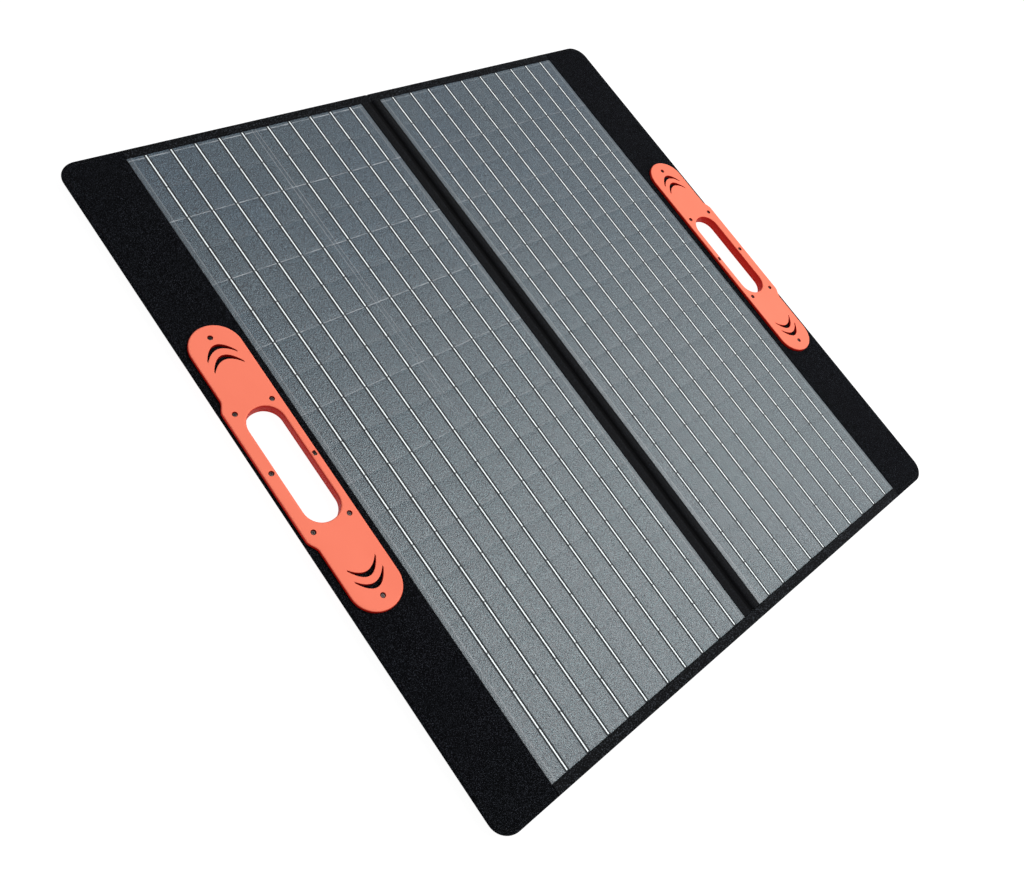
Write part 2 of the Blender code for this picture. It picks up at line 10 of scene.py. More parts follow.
import bmesh
import bpy
from mathutils import Euler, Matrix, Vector, noise
from mathutils.geometry import delaunay_2d_cdt


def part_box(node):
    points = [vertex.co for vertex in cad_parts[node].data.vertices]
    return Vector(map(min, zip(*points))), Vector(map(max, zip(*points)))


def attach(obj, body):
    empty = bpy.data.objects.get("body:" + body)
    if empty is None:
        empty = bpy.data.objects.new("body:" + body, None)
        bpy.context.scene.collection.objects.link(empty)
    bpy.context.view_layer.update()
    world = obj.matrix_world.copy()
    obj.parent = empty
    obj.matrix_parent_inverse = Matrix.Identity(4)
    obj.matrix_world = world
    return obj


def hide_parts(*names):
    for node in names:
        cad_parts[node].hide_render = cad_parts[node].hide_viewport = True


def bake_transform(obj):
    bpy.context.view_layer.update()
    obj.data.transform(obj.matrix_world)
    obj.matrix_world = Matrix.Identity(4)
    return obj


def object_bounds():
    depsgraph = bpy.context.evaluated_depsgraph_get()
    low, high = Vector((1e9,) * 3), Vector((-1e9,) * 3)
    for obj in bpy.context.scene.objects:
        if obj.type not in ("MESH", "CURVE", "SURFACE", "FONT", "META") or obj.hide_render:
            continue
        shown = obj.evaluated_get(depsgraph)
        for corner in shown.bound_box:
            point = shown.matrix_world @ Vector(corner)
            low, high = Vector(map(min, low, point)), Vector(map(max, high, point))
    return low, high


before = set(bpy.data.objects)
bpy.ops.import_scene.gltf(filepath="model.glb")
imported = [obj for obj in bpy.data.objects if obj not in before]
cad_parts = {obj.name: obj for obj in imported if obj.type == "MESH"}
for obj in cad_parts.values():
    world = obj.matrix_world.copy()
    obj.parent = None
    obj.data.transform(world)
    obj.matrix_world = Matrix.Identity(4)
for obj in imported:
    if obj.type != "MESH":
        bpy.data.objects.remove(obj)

CAD_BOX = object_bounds()
SIDES = {"right": 1, "left": -1}
GAP = 0.0003

# Places read from the frame, on the right half.
FILM_LOW, FILM_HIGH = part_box("right_front_film")
FLAP_LOW, FLAP_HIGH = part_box("right_side_flap")
COVER_LOW, COVER_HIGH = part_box("right_back_cover")
FRONT_LOW, FRONT_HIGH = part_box("right_handle_front")
BACK_LOW, BACK_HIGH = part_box("right_handle_back")
STAND_LOW, STAND_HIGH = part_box("right_stand_board")
TAPE_LOW, TAPE_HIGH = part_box("right_stand_hinge_tape")
STRAP_LOW, STRAP_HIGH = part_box("right_stand_strap")
POUCH_LOW, POUCH_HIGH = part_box("pocket_pouch")
ZIP_LOW, ZIP_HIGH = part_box("pocket_zip")
SLIDER_LOW, SLIDER_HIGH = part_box("zip_slider")
LEAD_LOW, LEAD_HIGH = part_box("right_bus_lead")

LAMINATE_IN = FILM_LOW.x - GAP / 2
LAMINATE_OUT = FILM_HIGH.x + GAP / 2
LAMINATE_MID = (LAMINATE_IN + LAMINATE_OUT) / 2
LAMINATE_L = FILM_HIGH.y - FILM_LOW.y
HALF_W = COVER_HIGH.x
HALF_L = COVER_HIGH.y
CORNER_R = 0.023
FRONT_Z = FLAP_HIGH.z
SKIN_Z = FLAP_LOW.z
BACK_Z = COVER_LOW.z

# The fabric is turned over the edge of each half, this far onto the back.
TURN_IN = 0.0027
COVER_INSET = 0.0030
EDGE_RADIUS = (FRONT_Z - BACK_Z) / 2
BORDER_IN = LAMINATE_L / 2 + GAP
BORDER_FOLD_R = 0.0006
SPINE_EDGE = 0.0007
CREASE_X = 0.0022
CREASE_DEPTH = 0.0024
CREASE_W = 0.0024

# Cells: two strings side by side in each half, with five ribbons on each.
CELL_W = 0.156
CELL_ROWS = 18
STRING_GAP = 0.005
STRING_L = LAMINATE_L - 0.008
ROW_L = STRING_L / CELL_ROWS
RIBBON_COUNT = 5
RIBBON_PITCH = CELL_W / RIBBON_COUNT
RIBBON_W = 0.00145
RIBBON_H = 0.00016
RIBBON_NECK = 0.55
RIBBON_SHIFT = {"right": 0.0, "left": -0.0015}
FILM_RIDGE = 0.00010
FILM_DIP = 0.00012

# Handle.
HANDLE_L = FRONT_HIGH.y - FRONT_LOW.y
HANDLE_W = 0.0593
HANDLE_IN = FRONT_LOW.x
HANDLE_OUT = HANDLE_IN + HANDLE_W
HANDLE_MID = HANDLE_IN + HANDLE_W / 2
LIP_OUT = FRONT_HIGH.x - HANDLE_OUT
LIP_HALF_L = 0.079
LIP_STEP_L = 0.0155
GRIP_L = 0.1435
GRIP_IN = HANDLE_IN + 0.0089
GRIP_W = 0.042
GRIP_R = 0.0205
COLLAR_WALL = 0.0012
VENT_CHORD = 0.035
VENT_SAG = 0.0148
VENT_W = 0.0058
VENT_TIP_W = 0.0018
VENT_FIRST = 0.0398
VENT_PITCH = 0.0140
PLATE_BOTTOM = FRONT_HIGH.z - 0.0040
RECESS_DEPTH = 0.0030
PLATE_EDGE_R = 0.0018
BACK_PLATE_EDGE_R = 0.0016
VENT_EDGE_R = 0.0004
SCREW_R = 0.0027
SCREW_HEAD_H = 0.0014
SHANK_R = 0.0014
SCREW_LENGTHWAYS = HANDLE_L / 2 - 0.0154
SCREW_SPOTS = (
    (HANDLE_MID, SCREW_LENGTHWAYS),
    (HANDLE_MID, -SCREW_LENGTHWAYS),
    (HANDLE_IN + 0.0098, 0.0743),
    (HANDLE_IN + 0.0098, -0.0743),
    (HANDLE_OUT - 0.0053, 0.0743),
    (HANDLE_OUT - 0.0053, -0.0743),
    (HANDLE_IN + 0.0042, 0.0),
    (HANDLE_OUT - 0.0026, 0.0),
)

# Kickstand and pocket.
STAND_CORNER_R = 0.018
BINDING_W = 0.011
BINDING_T = 0.0009
STRAP_T = 0.0013
POUCH_CORNER_R = 0.012
TOOTH_PITCH = 0.0008
STITCH_L = 0.0026
STITCH_PITCH = 0.0036
STITCH_W = 0.0005
STITCH_RISE = 0.00028

# Longest edge of an outline, and the angles from which an edge stays sharp.
OUTLINE_STEP = 0.006
HARD_ANGLE = 35
SOFT_ANGLE = 60


# ---------------------------------------------------------------- outlines

def arc(cx, cy, radius, start, end, steps):
    """Points on an arc, with angles in degrees."""
    angles = [math.radians(start + (end - start) * i / steps) for i in range(steps + 1)]
    return [(cx + radius * math.cos(a), cy + radius * math.sin(a)) for a in angles]


def rounded_rectangle(xs, ys, radius, steps=10):
    x0, x1, y0, y1 = xs[0] + radius, xs[1] - radius, ys[0] + radius, ys[1] - radius
    points = arc(x1, y1, radius, 0, 90, steps)
    points += arc(x0, y1, radius, 90, 180, steps)
    points += arc(x0, y0, radius, 180, 270, steps)
    points += arc(x1, y0, radius, 270, 360, steps)
    return points


def half_outline(x_in, inset=0.0, steps=12):
    """Outline of a half from x_in outward. The two corners away from the fold line are round."""
    radius = CORNER_R - inset
    x_out, half_l = HALF_W - inset, HALF_L - inset
    points = [(x_in, -half_l)]
    points += arc(x_out - radius, -half_l + radius, radius, -90, 0, steps)
    points += arc(x_out - radius, half_l - radius, radius, 0, 90, steps)
    points += [(x_in, half_l)]
    return points


def ease(t):
    t = min(1.0, max(0.0, t))
    return t * t * (3 - 2 * t)


def handle_outline(steps=36, lip_steps=10):
    """Long plate with half-round ends, and a lip on its outer edge beside the grip."""
    radius = HANDLE_W / 2
    end_y = HANDLE_L / 2 - radius
    lip_start = LIP_HALF_L + LIP_STEP_L
    rise = [i / lip_steps for i in range(lip_steps + 1)]
    points = arc(HANDLE_MID, -end_y, radius, -180, 0, steps)
    points += [(HANDLE_OUT + LIP_OUT * ease(t), -lip_start + LIP_STEP_L * t) for t in rise]
    points += [(HANDLE_OUT + LIP_OUT * ease(1 - t), LIP_HALF_L + LIP_STEP_L * t) for t in rise]
    points += arc(HANDLE_MID, end_y, radius, 0, 180, steps)
    return points


def grip_outline(grow=0.0):
    xs = (GRIP_IN - grow, GRIP_IN + GRIP_W + grow)
    ys = (-GRIP_L / 2 - grow, GRIP_L / 2 + grow)
    return rounded_rectangle(xs, ys, GRIP_R + grow)


def crescent(index, end, steps=16):
    """One crescent cut-out, bulging towards the handle's end (+1 or -1 along Y)."""
    tip_y = HANDLE_L / 2 - VENT_FIRST - VENT_PITCH * index
    outer, inner = [], []
    for i in range(steps + 1):
        u = 1 - i / steps * 2
        x, y = HANDLE_MID + VENT_CHORD / 2 * u, tip_y + VENT_SAG * (1 - u * u)
        width = VENT_TIP_W + (VENT_W - VENT_TIP_W) * (1 - u * u)
        outer.append((x, end * y))
        inner.append((x, end * (y - width)))
    points = outer + inner[::-1]
    return points if end > 0 else points[::-1]


def circle(x, y, radius, steps=20):
    return arc(x, y, radius, 0, 360, steps)[:-1]


def resample(outline, step):
    """The closed outline with no edge longer than step."""
    points = []
    for (x0, y0), (x1, y1) in zip(outline, outline[1:] + outline[:1]):
        length = math.hypot(x1 - x0, y1 - y0)
        if length < 1e-7:
            continue
        parts = max(1, math.ceil(length / step))
        points += [(x0 + (x1 - x0) * i / parts, y0 + (y1 - y0) * i / parts) for i in range(parts)]
    return points


def inside(x, y, outline):
    """Whether a point is inside a closed outline."""
    odd = False
    for (x0, y0), (x1, y1) in zip(outline, outline[1:] + outline[:1]):
        if (y0 > y) != (y1 > y) and x < x0 + (x1 - x0) * (y - y0) / (y1 - y0):
            odd = not odd
    return odd


# ------------------------------------------------------------ mesh building

def rim(outline, profile, plain=None, is_plain=None):
    """Rings round an outline, one for each (distance into the material, height) of the profile.

    Material is on the left of the outline's direction. Edges for which is_plain(x, y) is true at
    their middle take their distances from the profile `plain` instead.
    """
    count = len(outline)
    edges = []
    for i in range(count):
        (x0, y0), (x1, y1) = outline[i], outline[(i + 1) % count]
        length = math.hypot(x1 - x0, y1 - y0)
        normal = Vector((-(y1 - y0) / length, (x1 - x0) / length))
        edges.append((normal, bool(is_plain and is_plain((x0 + x1) / 2, (y0 + y1) / 2))))
    rings = []
    for level, (depth, height) in enumerate(profile):
        depths = (depth, plain[level][0] if plain else depth)
        ring = []
        for i, (x, y) in enumerate(outline):
            (n0, plain0), (n1, plain1) = edges[i - 1], edges[i]
            d0, d1 = depths[plain0], depths[plain1]
            turn = n0.x * n1.y - n0.y * n1.x
            if abs(turn) < 0.02:
                move = (n0 * d0 + n1 * d1) / 2
            else:
                move = Vector(((d0 * n1.y - d1 * n0.y) / turn, (d1 * n0.x - d0 * n1.x) / turn))
            z = plain[level][1] if plain0 and plain1 else height
            ring.append((x + move.x, y + move.y, z))
        rings.append(ring)
    return rings


def rounded(top, bottom, radius, steps=6, support=0.0006):
    """Profile of a rounded edge: from the top face, over the rounding, straight to the bottom."""
    sign = 1 if top > bottom else -1
    points = [(radius + support, top)]
    for i in range(steps + 1):
        a = math.pi / 2 * i / steps
        points.append((radius * (1 - math.sin(a)), top - sign * radius * (1 - math.cos(a))))
    return points + [(0.0, bottom)]


def pill(top, bottom, radius, steps=6, support=0.0006):
    """Profile rounded at both faces."""
    first = rounded(top, (top + bottom) / 2, radius, steps, support)[:-1]
    second = rounded(bottom, (top + bottom) / 2, radius, steps, support)[:-1]
    return first + second[::-1]


def bridge(bm, upper, lower):
    """Quads between two closed rings of vertices."""
    count = len(upper)
    for i in range(count):
        j = (i + 1) % count
        bm.faces.new((upper[i], lower[i], lower[j], upper[j]))


def fill(bm, loops, spacing=None, lift=None):
    """Close flat loops, the outer one first, with triangles over a grid of inner points."""
    verts = [v for loop in loops for v in loop]
    outlines = [[(v.co.x, v.co.y) for v in loop] for loop in loops]
    edges, start = [], 0
    for loop in loops:
        edges += [(start + i, start + (i + 1) % len(loop)) for i in range(len(loop))]
        start += len(loop)
    points = [v.co.xy for v in verts]
    if spacing:
        points += [Vector(p) for p in grid_inside(outlines, spacing)]
    height = verts[0].co.z
    out, _, faces, origin, _, _ = delaunay_2d_cdt(points, edges, [], 1, 1e-7)
    near = Nearness([p for outline in outlines for p in resample(outline, 0.002)])
    used = []
    for point, sources in zip(out, origin):
        old = [s for s in sources if s < len(verts)]
        if old:
            used.append(verts[old[0]])
            continue
        rise = lift(point.x, point.y, near.distance(point.x, point.y)) if lift else 0.0
        used.append(bm.verts.new((point.x, point.y, height + rise)))
    for face in faces:
        x = sum(out[i].x for i in face) / 3
        y = sum(out[i].y for i in face) / 3
        if not any(inside(x, y, hole) for hole in outlines[1:]):
            bm.faces.new([used[i] for i in face])


class Nearness:
    """Distance from a point to the nearest of many, up to a reach."""

    def __init__(self, points, reach=0.03):
        self.reach = reach
        self.cells = {}
        for x, y in points:
            self.cells.setdefault((int(x // reach), int(y // reach)), []).append((x, y))

    def distance(self, x, y):
        best = self.reach
        column, row = int(x // self.reach), int(y // self.reach)
        for i in (column - 1, column, column + 1):
            for j in (row - 1, row, row + 1):
                for px, py in self.cells.get((i, j), ()):
                    best = min(best, math.hypot(px - x, py - y))
        return best


def grid_inside(outlines, spacing):
    """Staggered grid points inside the first outline, outside the others and off their edges."""
    xs = [x for x, _ in outlines[0]]
    ys = [y for _, y in outlines[0]]
    near = Nearness([p for outline in outlines for p in resample(outline, spacing / 2)])
    row_step = spacing * 0.87
    points = []
    for row in range(1, int((max(ys) - min(ys)) / row_step) + 1):
        y = min(ys) + row * row_step
        shift = spacing / 2 * (row % 2)
        for column in range(int((max(xs) - min(xs)) / spacing) + 1):
            x = min(xs) + column * spacing + shift
            if near.distance(x, y) < spacing * 0.6 or not inside(x, y, outlines[0]):
                continue
            if not any(inside(x, y, hole) for hole in outlines[1:]):
                points.append((x, y))
    return points


def add_plate(bm, rims, spacing=None, lift=None):
    """A closed plate. Each rim is a list of rings, the outer rim first, then one for each hole.
    The face on the rims' first rings takes the inner points and the lift."""
    firsts, lasts = [], []
    for rings in rims:
        loops = [[bm.verts.new(p) for p in ring] for ring in rings]
        for upper, lower in zip(loops, loops[1:]):
            bridge(bm, upper, lower)
        firsts.append(loops[0])
        lasts.append(loops[-1])
    fill(bm, firsts, spacing, lift)
    fill(bm, lasts)


def add_loft(bm, rings):
    """A closed solid: rings of points joined in order, with a face over the first and the last."""
    loops = [[bm.verts.new(p) for p in ring] for ring in rings]
    for first, second in zip(loops, loops[1:]):
        bridge(bm, first, second)
    bm.faces.new(loops[0])
    bm.faces.new(loops[-1][::-1])


def add_band(bm, rings):
    """A closed band: rings round an outline, the last joined to the first."""
    loops = [[bm.verts.new(p) for p in ring] for ring in rings]
    for upper, lower in zip(loops, loops[1:] + loops[:1]):
        bridge(bm, upper, lower)


def add_slab(bm, xs, ys, top, bottom):
    """A closed sheet over a grid of stations, between two heights that depend on (x, y)."""
    upper = [[bm.verts.new((x, y, top(x, y))) for y in ys] for x in xs]
    lower = [[bm.verts.new((x, y, bottom(x, y))) for y in ys] for x in xs]
    for i in range(len(xs) - 1):
        for j in range(len(ys) - 1):
            bm.faces.new((upper[i][j], upper[i + 1][j], upper[i + 1][j + 1], upper[i][j + 1]))
            bm.faces.new((lower[i][j], lower[i][j + 1], lower[i + 1][j + 1], lower[i + 1][j]))
    for j in range(len(ys) - 1):
        for i in (0, -1):
            bm.faces.new((upper[i][j], upper[i][j + 1], lower[i][j + 1], lower[i][j]))
    for i in range(len(xs) - 1):
        for j in (0, -1):
            bm.faces.new((upper[i][j], lower[i][j], lower[i + 1][j], upper[i + 1][j]))


def stations(low, high, step, radius=0.0):
    """Even values from low to high, with closer ones over a rounding at each end."""
    inner_low, inner_high = low + radius, high - radius
    count = max(1, math.ceil((inner_high - inner_low) / step))
    values = [inner_low + (inner_high - inner_low) * i / count for i in range(count + 1)]
    if radius:
        turn = [radius * (1 - math.cos(math.pi / 2 * i / 5)) for i in range(5)]
        values = [low + t for t in turn] + values + [high - t for t in turn[::-1]]
    return values


def drop(distance, radius):
    """How far a rounded edge has fallen at this distance from its outer line."""
    if distance >= radius:
        return 0.0
    return radius - math.sqrt(max(0.0, radius ** 2 - (radius - distance) ** 2))


def bell(distance, width):
    """1 at no distance, fading smoothly away over about this width to each side."""
    return math.exp(-(distance / width) ** 2)


def ripple(x, y, size, height):
    """Smooth unevenness of cloth."""
    return height * noise.noise(Vector((x / size, y / size, 0.0)))


def add_stitches(bm, path, height, rise=STITCH_RISE):
    """A row of stitches on a line of points. They stand up where rise is positive."""
    left = STITCH_PITCH / 2
    for (x0, y0), (x1, y1) in zip(path, path[1:]):
        run = math.hypot(x1 - x0, y1 - y0)
        if run < 1e-9:
            continue
        along = Vector(((x1 - x0) / run, (y1 - y0) / run, 0.0))
        across = Vector((-along.y, along.x, 0.0))
        while left < run:
            centre = Vector((x0, y0, height)) + along * left
            add_stitch(bm, centre, along * STITCH_L / 2, across * STITCH_W / 2, rise)
            left += STITCH_PITCH
        left -= run


def add_stitch(bm, centre, along, across, rise):
    """One thread that comes out of the cloth, lies on it and goes back in."""
    down = Vector((0, 0, -rise))
    up = Vector((0, 0, rise))
    rings = []
    for t, size in ((-1.0, 0.45), (-0.7, 0.9), (0.0, 1.0), (0.7, 0.9), (1.0, 0.45)):
        middle = centre + along * t + down * (1 - size) * 1.5
        rings.append([middle + across * size, middle + across * size * 0.5 + up * size,
                      middle - across * size * 0.5 + up * size, middle - across * size,
                      middle + down * 0.5])
    add_loft(bm, rings)


def new_object(name, data):
    thing = bpy.data.objects.new(name, data)
    bpy.context.scene.collection.objects.link(thing)
    return thing


def new_mesh(name, bm, material):
    mesh = bpy.data.meshes.new(name)
    bm.to_mesh(mesh)
    bm.free()
    mesh.materials.append(material)
    return mesh


def make_piece(name, build, material, slot, body, side=1, replaces=(), sharp=HARD_ANGLE):
    """One piece from a function that fills a bmesh. It rides on its body."""
    bm = bmesh.new()
    build(bm)
    if side < 0:
        bmesh.ops.scale(bm, vec=(-1, 1, 1), verts=bm.verts)
    bmesh.ops.recalc_face_normals(bm, faces=bm.faces)
    mesh = new_mesh(name, bm, material)
    mesh.shade_smooth()
    mesh.set_sharp_from_angle(angle=math.radians(sharp))
    piece = new_object(name, mesh)
    if body:
        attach(piece, body)
    if replaces:
        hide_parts(*replaces)
    return piece


# ---------------------------------------------------------------- materials

class Paint:
    """A Principled material, with shorthand for the nodes that feed it."""

    def __init__(self, name, roughness=0.5, metallic=0.0, specular=0.5):
        self.material = bpy.data.materials.new(name)
        self.material.use_nodes = True
        self.tree = self.material.node_tree
        self.shader = self.tree.nodes["Principled BSDF"]
        self.shader.inputs["Roughness"].default_value = roughness
        self.shader.inputs["Metallic"].default_value = metallic
        self.shader.inputs["Specular IOR Level"].default_value = specular
        coordinates = self.tree.nodes.new("ShaderNodeTexCoord")
        self.place = coordinates.outputs["Object"]
        self.x, self.y, self.z = self.parts(self.place)
        self.facing = coordinates.outputs["Normal"]

    def feed(self, socket, value):
        if isinstance(value, bpy.types.NodeSocket):
            self.tree.links.new(value, socket)
        else:
            socket.default_value = value

    def parts(self, vector):
        split = self.tree.nodes.new("ShaderNodeSeparateXYZ")
        self.feed(split.inputs[0], vector)
        return split.outputs

    def math(self, operation, first, second=0.0, third=0.0):
        node = self.tree.nodes.new("ShaderNodeMath")
        node.operation = operation
        for socket, value in zip(node.inputs, (first, second, third)):
            self.feed(socket, value)
        return node.outputs[0]

    def times(self, first, second):
        return self.math("MULTIPLY", first, second)

    def plus(self, first, second):
        return self.math("ADD", first, second)

    def minus(self, first, second):
        return self.math("SUBTRACT", first, second)

    def noise(self, scale, detail=2.0, rough=0.5, stretch=(1, 1, 1)):
        node = self.tree.nodes.new("ShaderNodeTexNoise")
        node.inputs["Scale"].default_value = scale
        node.inputs["Detail"].default_value = detail
        node.inputs["Roughness"].default_value = rough
        self.feed(node.inputs["Vector"], self.stretched(stretch))
        return node.outputs[0]

    def voronoi(self, scale, stretch=(1, 1, 1)):
        node = self.tree.nodes.new("ShaderNodeTexVoronoi")
        node.inputs["Scale"].default_value = scale
        self.feed(node.inputs["Vector"], self.stretched(stretch))
        return node.outputs["Distance"]

    def stretched(self, stretch):
        if stretch == (1, 1, 1):
            return self.place
        node = self.tree.nodes.new("ShaderNodeMapping")
        node.inputs["Scale"].default_value = stretch
        self.feed(node.inputs["Vector"], self.place)
        return node.outputs[0]

    def rescale(self, value, low, high, to_low=0.0, to_high=1.0):
        """The value from low..high moved to to_low..to_high, and held there beyond."""
        node = self.tree.nodes.new("ShaderNodeMapRange")
        node.interpolation_type = "SMOOTHSTEP"
        for socket, number in zip(node.inputs, (value, low, high, to_low, to_high)):
            self.feed(socket, number)
        return node.outputs[0]

    def line(self, distance, width):
        """1 on a line, fading to 0 at this distance from it."""
        return self.rescale(self.math("ABSOLUTE", distance), width * 0.35, width, 1.0, 0.0)

    def mix(self, share, first, second):
        node = self.tree.nodes.new("ShaderNodeMix")
        node.data_type = "RGBA"
        self.feed(node.inputs["Factor"], share)
        for name, value in (("A", first), ("B", second)):
            socket = [s for s in node.inputs if s.name == name and s.type == "RGBA"][0]
            self.feed(socket, (*value, 1.0) if isinstance(value, tuple) else value)
        return [s for s in node.outputs if s.type == "RGBA"][0]

    def colour(self, value):
        self.feed(self.shader.inputs["Base Color"], value)

    def roughness(self, value, low, high):
        self.feed(self.shader.inputs["Roughness"], self.rescale(value, 0.0, 1.0, low, high))

    def bump(self, height, distance, strength=1.0):
        node = self.tree.nodes.new("ShaderNodeBump")
        node.inputs["Strength"].default_value = strength
        node.inputs["Distance"].default_value = distance
        self.feed(node.inputs["Height"], height)
        self.feed(self.shader.inputs["Normal"], node.outputs[0])

    def weave(self, pitch, rib=1.0):
        """Height of a plain weave: threads that cross over and under each other."""
        waves = []
        for coordinate, period in ((self.x, pitch), (self.y, pitch * rib)):
            waves.append(self.math("SINE", self.times(coordinate, 2 * math.pi / period)))
        return self.math("MULTIPLY_ADD", self.times(*waves), 0.5, 0.5)


def oxford_cloth(name, dark, light, pitch=0.0009, fleck=0.8, specular=0.05, smooth=0.0, crease=0.0):
    """Coated woven cloth with paler flecks where a thread catches the light. Down in a crease along
    x = 0, this far to each side, the cloth is dull and painted shade darkens its colour."""
    paint = Paint(name, specular=specular)
    weave = paint.weave(pitch)
    worn = paint.noise(9.0, 4.0, 0.6)
    specks = paint.rescale(paint.noise(1250.0, 2.0, 0.7), 0.55, 0.69)
    base = paint.mix(paint.rescale(worn, 0.3, 0.7), dark, tuple(c * 1.5 for c in dark))
    base = paint.mix(paint.times(weave, 0.02), base, light)
    tone = paint.mix(paint.times(specks, fleck), base, light)
    dullness = paint.rescale(worn, 0.0, 1.0, 0.76 - smooth, 0.90 - smooth)
    # Painted shade: in the crease the colour goes to the dark cloth colour, and the cloth is rougher.
    if crease:
        fold = paint.line(paint.x, crease)
        tone = paint.mix(fold, tone, dark)
        dullness = paint.plus(dullness, paint.times(fold, 0.35))
    paint.colour(tone)
    paint.feed(paint.shader.inputs["Roughness"], dullness)
    height = paint.plus(weave, paint.times(paint.noise(900.0), 0.8))
    paint.bump(height, 0.00022, 0.8)
    return paint.material


def grained_border(name):
    """Coarse leather-like grain of the edge binding."""
    paint = Paint(name, specular=0.06)
    grain = paint.voronoi(520.0)
    fine = paint.noise(1100.0, 3.0)
    height = paint.plus(grain, paint.times(fine, 0.5))
    tone = paint.rescale(paint.noise(640.0, 2.0, 0.7), 0.52, 0.68)
    base = paint.mix(tone, (0.0004, 0.0006, 0.0011), (0.044, 0.050, 0.060))
    worn = paint.rescale(paint.noise(12.0), 0.35, 0.7, 0.0, 0.4)
    base = paint.mix(worn, base, (0.003, 0.003, 0.004))
    paint.colour(base)
    paint.roughness(fine, 0.55, 0.75)
    paint.bump(height, 0.00045, 0.9)
    return paint.material


def embossed_film(name, shift):
    """Matt grey film with a fine pebble over the cells. The cells' edges show through faintly. Its tint
    is a painted reflection that shifts from bottom to top, the gaps between cells carry painted
    highlights towards the top left, and a painted shade line runs beside each ribbon.
    """
    paint = Paint(name, specular=0.90)
    across = paint.minus(paint.math("ABSOLUTE", paint.x), LAMINATE_MID)
    from_mid = paint.math("ABSOLUTE", across)
    column_edge = STRING_GAP / 2
    outer_edge = STRING_GAP / 2 + CELL_W
    outside = paint.rescale(from_mid, outer_edge, outer_edge + 0.0006)
    outer_line = paint.line(paint.minus(from_mid, outer_edge), 0.0008)
    column_line = paint.line(paint.minus(from_mid, column_edge), 0.0007)

    along = paint.plus(paint.y, STRING_L / 2)
    row_line = paint.line(paint.math("PINGPONG", along, ROW_L / 2), 0.0008)
    pair = paint.rescale(paint.math("PINGPONG", along, ROW_L), 0.0, ROW_L, 1.0, 0.12)
    # Painted reflection and highlight: 0 at the bottom, 1 at the top. It tints the film and strengthens
    # the painted highlights on the cell gaps towards the top.
    painted_light_towards_top = paint.rescale(paint.y, -0.25, 0.40, 0.12, 1.0)
    # Painted highlight: the lines between cells show most on the left and fade towards the right.
    painted_light_on_left = paint.rescale(paint.x, -0.10, 0.10, 1.0, 0.30)
    patchy = paint.rescale(paint.noise(55.0, 2.0), 0.35, 0.65, 0.35, 1.0)
    # Painted highlight on the row gaps, stronger on every second gap and towards the top left.
    row_highlight = paint.times(paint.times(row_line, pair), paint.times(painted_light_towards_top, patchy))
    row_highlight = paint.times(row_highlight, painted_light_on_left)
    # The gap between the two strings is a real pale line; its strength by place on the panel is painted
    # highlight.
    column_gap_and_highlight = paint.times(paint.times(column_line, painted_light_towards_top), painted_light_on_left)

    first_ribbon = STRING_GAP / 2 + RIBBON_PITCH / 2
    half_pitch = RIBBON_PITCH / 2
    outer = paint.math("PINGPONG", paint.minus(across, first_ribbon + shift), half_pitch)
    inner = paint.math("PINGPONG", paint.plus(across, first_ribbon - shift), half_pitch)
    on_outer = paint.math("GREATER_THAN", across, 0.0)
    to_ribbon = paint.plus(paint.times(on_outer, outer), paint.times(paint.minus(1.0, on_outer), inner))
    # Painted shade: a dark line beside each ribbon, where the film drapes off it; it also roughens the
    # film there.
    ribbon_shade_line = paint.line(paint.minus(to_ribbon, RIBBON_W), 0.0020)

    pebble = paint.voronoi(760.0)
    mottle = paint.noise(980.0, 1.0)
    cloudy = paint.noise(7.0, 3.0)
    # Painted reflection: the film's tint shifts from greenish at the bottom to bluish at the top.
    base = paint.mix(painted_light_towards_top, (0.122, 0.206, 0.222), (0.122, 0.190, 0.246))
    base = paint.mix(paint.rescale(cloudy, 0.3, 0.7, 0.0, 0.6), base, (0.144, 0.204, 0.232))
    base = paint.mix(paint.rescale(mottle, 0.45, 0.65, 1.0, 0.0), base, (0.001, 0.007, 0.018))
    # Each mask, how strongly it shows, and its colour.
    for mask, share, tint in (
            (outside, 0.30, (0.110, 0.125, 0.135)), (outer_line, 0.40, (0.30, 0.32, 0.34)),
            (column_gap_and_highlight, 0.55, (0.30, 0.32, 0.34)), (row_highlight, 0.90, (0.40, 0.43, 0.46)),
            (ribbon_shade_line, 0.95, (0.002, 0.003, 0.005))):
        base = paint.mix(paint.times(mask, share), base, tint)
    paint.colour(base)
    dull = paint.times(ribbon_shade_line, 0.55)
    smoothness = paint.rescale(mottle, 0.0, 1.0, 0.34, 0.46)
    paint.feed(paint.shader.inputs["Roughness"], paint.plus(smoothness, dull))
    height = paint.plus(pebble, paint.times(mottle, 0.8))
    paint.bump(height, 0.00035, 0.85)
    return paint.material


def tinned_ribbon():
    """Bright tinned copper. Painted shade darkens it where a ribbon steps down between two cells."""
    paint = Paint("tinned_ribbon", roughness=0.4, specular=0.5)
    row_distance = paint.math("PINGPONG", paint.plus(paint.y, STRING_L / 2), ROW_L / 2)
    from_centre = paint.math("ABSOLUTE", paint.y)
    off_ends = paint.rescale(from_centre, STRING_L / 2 - 0.010, STRING_L / 2 - 0.006, 0.75, 0.0)
    # Painted shade at each step down between cells, left out near the ribbon's ends.
    step = paint.times(paint.line(row_distance, 0.0015), off_ends)
    solder = paint.rescale(paint.noise(140.0, 3.0), 0.35, 0.65, 0.0, 0.25)
    base = paint.mix(solder, (0.93, 1.0, 1.0), (0.82, 0.89, 0.93))
    paint.colour(paint.mix(step, base, (0.08, 0.09, 0.10)))
    paint.roughness(paint.noise(300.0), 0.30, 0.50)
    paint.bump(paint.noise(500.0), 0.00005, 0.5)
    return paint.material


